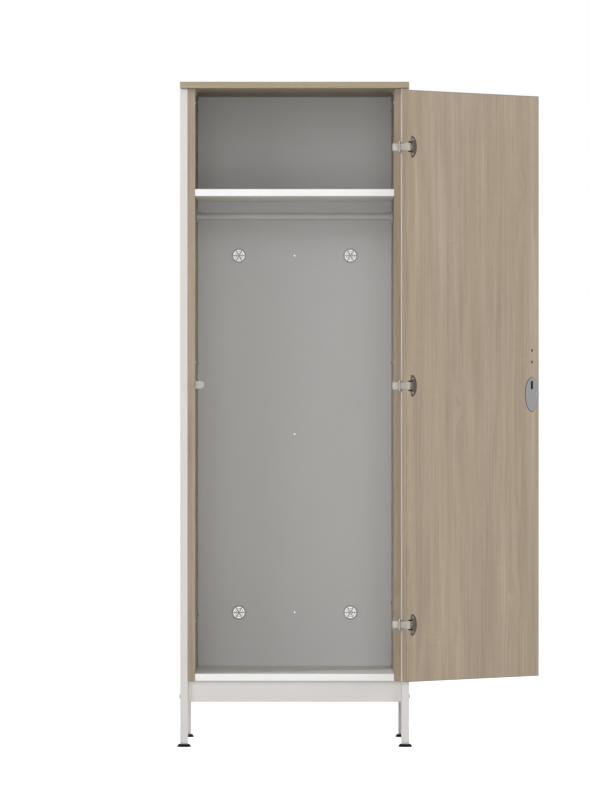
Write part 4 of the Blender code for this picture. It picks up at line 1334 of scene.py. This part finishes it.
@dataclass
class Lock(Dresser):
    """The oval cover with its slot, a black ring of painted shade round it and its case, the knob on its rose, and
    the strike's screws.
    """

    slot_width: float = 9.6 * MM
    slot_height: float = 22.6 * MM
    slot_shift: float = 1.6 * MM
    slot_rise: float = 26.0 * MM
    slot_ease: float = 0.25 * MM
    corner_rays: int = 40
    face_rows: int = 8
    bevel: float = 0.6 * MM
    pocket_margin: float = 4.0 * MM
    pocket_depth: float = 15.2 * MM
    case_sheet: float = 1.5 * MM
    case_bevel: float = 0.4 * MM
    # A thin black ring just past the cover's rim: painted shade for the dark outline round the cover.
    shade_ring_margin: float = 1.0 * MM
    shade_ring_sheet: float = 0.22 * MM
    shade_ring_bevel: float = 0.044 * MM
    shade_ring_gap: float = 0.04 * MM
    screw_offset: float = 19.8 * MM
    screw_lift: float = 1.5 * MM
    screw_sunk: float = 0.1 * MM
    screw_radius: float = 2.4 * MM
    rose_bore: float = 4.3 * MM
    rose_ease: float = 1.6 * MM
    collar: float = 6.0 * MM
    collar_foot: float = 0.5 * MM
    collar_ease: float = 1.5 * MM
    spindle: float = 4.0 * MM
    spindle_ease: float = 0.4 * MM
    spindle_tip: float = 3.2 * MM
    wing_bevel: float = 1.4 * MM
    wing_width_share: float = 0.7
    wing_height_share: float = 1.8
    wing_corner_share: float = 0.3
    strike_sheet: float = 2.5 * MM
    strike_screws: tuple[float, float] = (18.0 * MM, 29.0 * MM)
    cover_sides: int = 96
    rose_sides: int = 80
    knob_sides: int = 64

    def slot_rays(self) -> tuple[Array, Array]:
        """Directions from the slot's middle, and how far the slot's rectangle reaches along each.

        A ray (cos a, sin a) leaves a rectangle of half sizes w and h after min(w / |cos a|, h / |sin a|). The
        angles are shared out between the four corners.

        Returns:
            The directions, of shape (n, 2), and the reaches.
        """
        half = np.array((self.slot_width, self.slot_height)) / 2
        corner = math.atan2(half[1], half[0])
        stops = (-corner, corner, math.pi - corner, math.pi + corner, 2 * math.pi - corner)
        angles = np.concatenate([np.linspace(low, high, self.corner_rays, endpoint=False)
                                 for low, high in zip(stops, stops[1:])])
        rays = np.stack((np.cos(angles), np.sin(angles)), axis=-1)
        return rays, np.min(half / np.maximum(np.abs(rays), TINY), axis=1)

    def cover(self, half: Array, sheet: float) -> Surface:
        """An oval plate with a slot, skinned along rays from the slot's middle between the slot and the oval.

        A ray from (x0, z0) meets the oval where (x/a)^2 + (z/b)^2 = 1. The rows climb the slot's wall, cross
        the face, round the oval's edge and end at its foot, and the loop closes the underside.

        Args:
            half: Half the oval's width and height.
            sheet: Thickness.

        Returns:
            The closed shell, with its face at local Z = sheet.
        """
        rays, near = self.slot_rays()
        start = np.array((self.slot_shift, self.slot_rise))
        ray = rays / half
        base = start / half
        square = np.sum(ray * ray, axis=1)
        cross = np.sum(ray * base, axis=1)
        far = (-cross + np.sqrt(cross ** 2 - square * (np.sum(base * base) - 1.0))) / square
        draw, climb = rounded_edge(self.bevel, 5)
        span = np.linspace(0.0, 1.0, self.face_rows)[:, None]
        flat = near + self.slot_ease + span * (far - near - self.slot_ease - self.bevel)
        lengths = np.vstack((near, near, flat, far[None] - draw[1:, None], far))
        heights = (0.0, sheet - self.slot_ease, *np.full(self.face_rows, sheet), *(sheet - climb[1:]), 0.0)
        points = start + lengths[..., None] * rays[None]
        rise = np.broadcast_to(np.array(heights)[:, None, None], (*lengths.shape, 1))
        return ringed(np.concatenate((points, rise), axis=-1), looped=True)

    def knob(self, radius: float, grip: float, tail: float) -> Surface:
        """A turned collar with an upright wing, its seat at local Z = 0 and its spindle behind.

        Args:
            radius: Collar radius.
            grip: Height of the wing over the collar.
            tail: Length of the spindle.

        Returns:
            The closed shells.
        """
        draw, climb = rounded_edge(self.collar_ease, 6)
        spindle = self.spindle
        foot = self.collar_foot
        profile = ((self.spindle_tip, -tail), (spindle, -tail + self.spindle_ease), (spindle, 0.0),
                   (radius - foot, 0.0), (radius, foot), *zip(radius - climb, self.collar - draw),
                   (radius * END_SHARE, self.collar))
        outline = rounded_rectangle(self.wing_width_share, self.wing_height_share, self.wing_corner_share, 8)
        wing = plate(radius * outline, grip + foot, self.wing_bevel, 5)
        wing = wing.shifted((0.0, 0.0, self.collar - foot))
        return merged((turned(profile, self.knob_sides), wing))

    def rose(self, radius: float, height: float) -> Surface:
        """A ring with a rounded front edge, its back at local Z = 0.

        Args:
            radius: Outer radius.
            height: Height over all.

        Returns:
            The closed shell.
        """
        draw, climb = rounded_edge(self.rose_ease, 6)
        profile = ((self.rose_bore, 0.0), (radius, 0.0), *zip(radius - climb, height - draw),
                   (self.rose_bore, height))
        return turned(profile, self.rose_sides, looped=True)

    def build_cover(self) -> None:
        """Replaces the cover, and adds its screws, a black ring of painted shade round it and the case's dark
        floor.
        """
        box = self.shop.extent("lock_cover")
        x, _, z = box.middle
        half = np.array((box.half[0], box.half[2]))
        cover = self.cover(half, 2 * box.half[1])
        flipped = Surface(cover.points * (-1.0, 1.0, 1.0), cover.faces).outward()
        flipped = flipped.posed(Facing.BACK, (x, box.low[1], z))
        self.shop.add("lock_cover_dressed", flipped, "door", "grey_fitting", ("lock_cover",))
        turn = np.linspace(0.0, 2 * np.pi, self.cover_sides, endpoint=False)
        oval = np.stack((np.cos(turn), np.sin(turn)), axis=-1) * (half - self.pocket_margin)
        face = self.shop.extent("door_panel").high[1]
        case = plate(oval, self.case_sheet, self.case_bevel)
        case = case.posed(Facing.BACK, (x, face - self.pocket_depth, z))
        self.shop.add("lock_case", case, "door", "foot_plastic")
        # Painted shade: a thin black ring round the cover, on the door's face.
        bore = 1.0 - self.pocket_margin / half[0]
        ring = tube_shell(1.0, bore, self.shade_ring_sheet, self.shade_ring_bevel, self.cover_sides)
        shade_ring = Surface(ring.points * (*(half + self.shade_ring_margin), 1.0), ring.faces)
        shade_ring = shade_ring.posed(Facing.BACK, (x, face + self.shade_ring_gap, z))
        self.shop.add("lock_seal", shade_ring, "door", "foot_plastic")
        spots = [(x + side * self.screw_offset, box.high[1] - self.screw_sunk, z + self.screw_lift)
                 for side in (-1, 1)]
        heads = screws(self.screw_radius, LOW_SCREW_RISE, Facing.BACK, spots)
        self.shop.add("lock_cover_screws", heads, "door", "plated_steel")

    def build_knob(self) -> None:
        """Replaces the rose and the knob."""
        box = self.shop.extent("lock_rose")
        x, _, z = box.middle
        rose = self.rose(box.half[0], 2 * box.half[1]).posed(Facing.FRONT, (x, box.high[1], z))
        self.shop.add("lock_rose_dressed", rose, "door", "grey_fitting", ("lock_rose",))
        knob = self.shop.extent("lock_knob")
        seat = box.low[1] - SEAT_GAP
        shape = self.knob(knob.half[0], seat - knob.low[1] - self.collar, knob.high[1] - seat)
        shape = shape.posed(Facing.FRONT, (x, seat, z))
        self.shop.add("lock_knob_dressed", shape, "lock", "plated_steel", ("lock_knob",), "bright_steel")

    def build(self) -> None:
        """Dresses the lock, and adds the strike's screws."""
        self.build_cover()
        self.build_knob()
        box = self.shop.extent("lock_strike")
        spots = [(box.low[0] + self.strike_sheet, depth, box.middle[2]) for depth in self.strike_screws]
        heads = screws(self.screw_radius, SCREW_RISE, Facing.RIGHT, spots)
        self.shop.add("strike_screws", heads, "cabinet", "plated_steel")


@dataclass
class BowHandle(Dresser):
    """A bow handle: a bar with rounded ends on two legs that flare at the door, and its screws' caps, whose dark
    brown is partly painted shade of the holes under them.
    """

    leg: float = 5.0 * MM
    flare: float = 1.8 * MM
    leg_ease: float = 1.0 * MM
    leg_end: float = 4.5 * MM
    grip_depth: float = 8.0 * MM
    pitch: float = 32.0 * MM
    cap: float = 4.0 * MM
    cap_rise: float = 0.6 * MM
    cap_socket: float = 1.6 * MM
    rows: int = 49
    columns: int = 40
    power: float = 3.2
    end_power: int = 8
    end_scale: float = 0.55

    def bar(self, width: float, half: float) -> Surface:
        """The bar along local Y: |x/a|^p + |z/b|^p = 1, shrunk by (1 - |t|^q)^(1/q) towards its ends.

        Args:
            width: Width across.
            half: Half the length.

        Returns:
            The closed shell.
        """
        along = np.linspace(-1.0, 1.0, self.rows)
        shrink = (1.0 - np.abs(along) ** self.end_power) ** (1 / self.end_power)
        scale = np.maximum(shrink, self.end_scale)[:, None]
        angles = np.linspace(0.0, 2 * np.pi, self.columns, endpoint=False)
        cosine = np.sign(np.cos(angles)) * np.abs(np.cos(angles)) ** (2 / self.power)
        sine = np.sign(np.sin(angles)) * np.abs(np.sin(angles)) ** (2 / self.power)
        length = np.broadcast_to((along * half)[:, None], (self.rows, self.columns))
        depth = scale * sine * self.grip_depth / 2
        return ringed(np.stack((scale * cosine * width / 2, length, depth), axis=-1))

    def build(self) -> None:
        """Replaces the CAD handle by a bar and turned legs, and adds the caps inside the door."""
        box = self.shop.extent("door_handle")
        x, _, z = box.middle
        front = box.low[1] + self.grip_depth / 2
        reach = box.high[1] - front
        draw, climb = rounded_edge(self.flare, 7)
        profile = (*zip(self.leg + draw, climb), (self.leg, reach - self.leg_ease), (self.leg_end, reach))
        leg = turned(profile, self.columns)
        levels = [z + side * self.pitch / 2 for side in (-1, 1)]
        shells = [self.bar(2 * box.half[0], box.half[2]).posed(Facing.FRONT, (x, front, z))]
        shells.extend(leg.posed(Facing.FRONT, (x, box.high[1], level)) for level in levels)
        handle = merged(shells)
        self.shop.add("door_handle_dressed", handle, "door", "plated_steel", ("door_handle",), "bright_steel")
        inside = self.shop.extent("door_panel").high[1]
        cap = socket_head(self.cap, self.cap_rise, self.cap_socket)
        caps = merged(cap.posed(Facing.BACK, (x, inside, level)) for level in levels)
        # The caps' dark brown is partly painted shade of the screw holes under them.
        self.shop.add("handle_screw_caps", caps, "door", "dark_plated_steel", finish="brown_plastic")


@dataclass
class JointStrip(Dresser):
    """A strip over the joint between the hinge-side panel and its upright, paler than the upright's paint: painted
    light that makes the shaded line there look lit.
    """

    panel_overlap: float = 0.9 * MM
    tube_overlap: float = 1.6 * MM
    gap: float = 0.05 * MM
    sheet: float = 0.5 * MM
    bevel: float = 0.12 * MM

    def build(self) -> None:
        """Adds the strip along the panel's front edge."""
        panel = self.shop.extent("side_panel_right")
        tube = self.shop.extent("upright_front_right")
        front = panel.low[1] - self.gap
        strip = block((panel.high[0] - self.panel_overlap, front - self.sheet, panel.low[2]),
                      (tube.low[0] + self.tube_overlap, front, panel.high[2]), Facing.FRONT, self.bevel)
        # The strip's pale colour is painted light on the shaded joint.
        self.shop.add("joint_strip", strip, "cabinet", "painted_tube", finish="cream_edge")


@dataclass
class BracketScrews(Dresser):
    """Screws in the corner brackets under the top."""

    radius: float = 2.4 * MM
    sheet: float = 2.0 * MM
    reach: float = 7.3 * MM

    def build(self) -> None:
        """Adds two screws to each bracket."""
        head = screw_head(self.radius, SCREW_RISE)
        for end in ("front", "rear"):
            for name, side in SIDES.items():
                box = self.shop.extent(f"corner_bracket_{end}_{name}")
                wall = box.end(0, side)
                depth = box.middle[1]
                top = box.high[2]
                heads = (head.posed(inward(side), (wall - side * self.sheet, depth, top - self.reach)),
                         head.posed(Facing.DOWN, (wall - side * self.reach, depth, top - self.sheet)))
                self.shop.add(f"bracket_screws_{end}_{name}", merged(heads), "cabinet", "plated_steel")


@dataclass(frozen=True)
class Softbox:
    """A wide soft lamp, placed from the cabinet's origin and aimed at its middle."""

    name: str
    place: tuple[float, float, float]
    width: float
    height: float
    power: float
    aim: tuple[float, float, float] = (0.0, 0.0, 1.0)

    def add(self, origin: Vector) -> None:
        """Adds the lamp to the scene.

        Args:
            origin: The cabinet's origin.
        """
        data = bpy.data.lights.new(self.name, "AREA")
        data.shape = "RECTANGLE"
        data.size = self.width
        data.size_y = self.height
        data.energy = self.power
        lamp = bpy.data.objects.new(self.name, data)
        lamp.location = origin + Vector(self.place)
        lamp.rotation_euler = (Vector(self.aim) - Vector(self.place)).to_track_quat("-Z", "Y").to_euler()
        bpy.context.scene.collection.objects.link(lamp)


@dataclass
class Studio:
    """Floor, soft light and the camera."""

    origin: Vector
    focal_pixels: float = 7093.0
    image_height: float = 787.0
    sensor: float = 36.0
    distance: float = 19.2
    camera_x: float = 1.0 * MM
    camera_height: float = 0.957
    clip_end: float = 400.0
    floor_half: float = 300.0
    floor_glow: float = 0.75
    floor_grey: float = 0.85
    sky: float = 0.345
    lamps: tuple[Softbox, ...] = (Softbox("front_softbox", (0.0, -9.0, 1.9), 3.0, 4.2, 137.0),
                                  Softbox("front_left_fill", (-4.5, -8.0, 2.4), 3.0, 4.5, 64.0),
                                  Softbox("left_key", (-9.5, -5.5, 5.9), 2.0, 2.0, 550.0),
                                  Softbox("right_softbox", (8.0, -2.5, 2.0), 3.0, 3.0, 304.0))

    def seen(self, graph: Graph) -> Socket:
        """Tells the rays that show the studio: those from the camera, mirrored or transmitted.

        Args:
            graph: The graph that the nodes go to.

        Returns:
            1 for such rays, otherwise 0.
        """
        path = graph.node("LightPath")
        seen = graph.math("MAXIMUM", path.outputs["Is Camera Ray"], path.outputs["Is Glossy Ray"])
        return graph.math("MAXIMUM", seen, path.outputs["Is Transmission Ray"])

    def light(self) -> None:
        """Adds an even pale world that shows as white, and the lamps."""
        world = bpy.data.worlds.new("soft_studio")
        bpy.context.scene.world = world
        world.use_nodes = True
        graph = Graph(world.node_tree)
        world.node_tree.nodes.clear()
        lamp = graph.node("Background", {"Color": WHITE, "Strength": self.sky})
        view = graph.node("Background", {"Color": WHITE, "Strength": 1.0})
        both = graph.node("MixShader", {0: self.seen(graph), 1: lamp.outputs[0], 2: view.outputs[0]})
        graph.node("OutputWorld", {"Surface": both.outputs[0]})
        for softbox in self.lamps:
            softbox.add(self.origin)

    def floor(self) -> None:
        """Adds a large pale floor that turns white where no shadow falls on it."""
        half = self.floor_half
        mesh = bpy.data.meshes.new("studio_floor")
        mesh.from_pydata([(-half, -half, 0.0), (half, -half, 0.0), (half, half, 0.0), (-half, half, 0.0)], [],
                         [(0, 1, 2, 3)])
        material = bpy.data.materials.new("studio_floor")
        material.use_nodes = True
        graph = Graph(material.node_tree)
        material.node_tree.nodes.clear()
        base = graph.node("BsdfDiffuse", {"Color": (self.floor_grey, self.floor_grey, self.floor_grey, 1.0)})
        strength = graph.math("MULTIPLY", self.seen(graph), self.floor_glow)
        glow = graph.node("Emission", {"Color": WHITE, "Strength": strength})
        both = graph.node("AddShader", {0: base.outputs[0], 1: glow.outputs[0]})
        graph.node("OutputMaterial", {"Surface": both.outputs[0]})
        mesh.materials.append(material)
        plane = bpy.data.objects.new("studio_floor", mesh)
        bpy.context.scene.collection.objects.link(plane)

    def camera(self) -> None:
        """Adds a long lens level with the middle of the wardrobe, straight in front of it."""
        data = bpy.data.cameras.new("front_view")
        data.sensor_width = self.sensor
        data.lens = self.focal_pixels * self.sensor / self.image_height
        data.clip_end = self.clip_end
        view = bpy.data.objects.new("front_view", data)
        view.location = self.origin + Vector((self.camera_x, -self.distance, self.camera_height))
        view.rotation_euler = (math.pi / 2, 0.0, 0.0)
        bpy.context.scene.collection.objects.link(view)
        bpy.context.scene.camera = view

    def build(self) -> None:
        """Sets up the studio."""
        self.light()
        self.floor()
        self.camera()
        bpy.context.scene.view_settings.view_transform = "Standard"


def placements() -> tuple[Placement, Placement]:
    """The cabinet's and the door's placements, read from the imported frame.

    Returns:
        The cabinet's placement and the shut door's.
    """
    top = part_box("top_panel")
    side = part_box("side_panel_left")
    origin = ((top[0].x + top[1].x) / 2, side[0].y, 0.0)
    swing = next(joint for joint in frame["joints"] if joint["name"] == "door_swing")
    pivot = (swing["pos_m"][0] - origin[0], swing["pos_m"][1] - origin[1])
    return Placement(origin, pivot, 0.0), Placement(origin, pivot, -swing["range_deg"][0])


def main() -> None:
    """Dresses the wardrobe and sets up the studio."""
    logging.basicConfig(level=logging.INFO, format="%(message)s")
    for item in [item for item in bpy.data.objects if item.type in ("LIGHT", "CAMERA")]:
        bpy.data.objects.remove(item)
    cabinet, door = placements()
    palette = Palette()
    palette.make(door)
    palette.dress_nodes({"top_panel": "oak_across", "door_panel": "oak_door", "back_panel": "back_laminate"})
    shop = Workshop(palette, cabinet, door)
    dressers: tuple[type[Dresser], ...] = (LevellingFeet, Bolts, HangingRail, VentGrilles, Hinges, Lock,
                                           BowHandle, JointStrip, BracketScrews)
    for dresser in dressers:
        dresser(shop).build()
    Studio(Vector(cabinet.origin)).build()


if __name__ == "__main__":
    main()
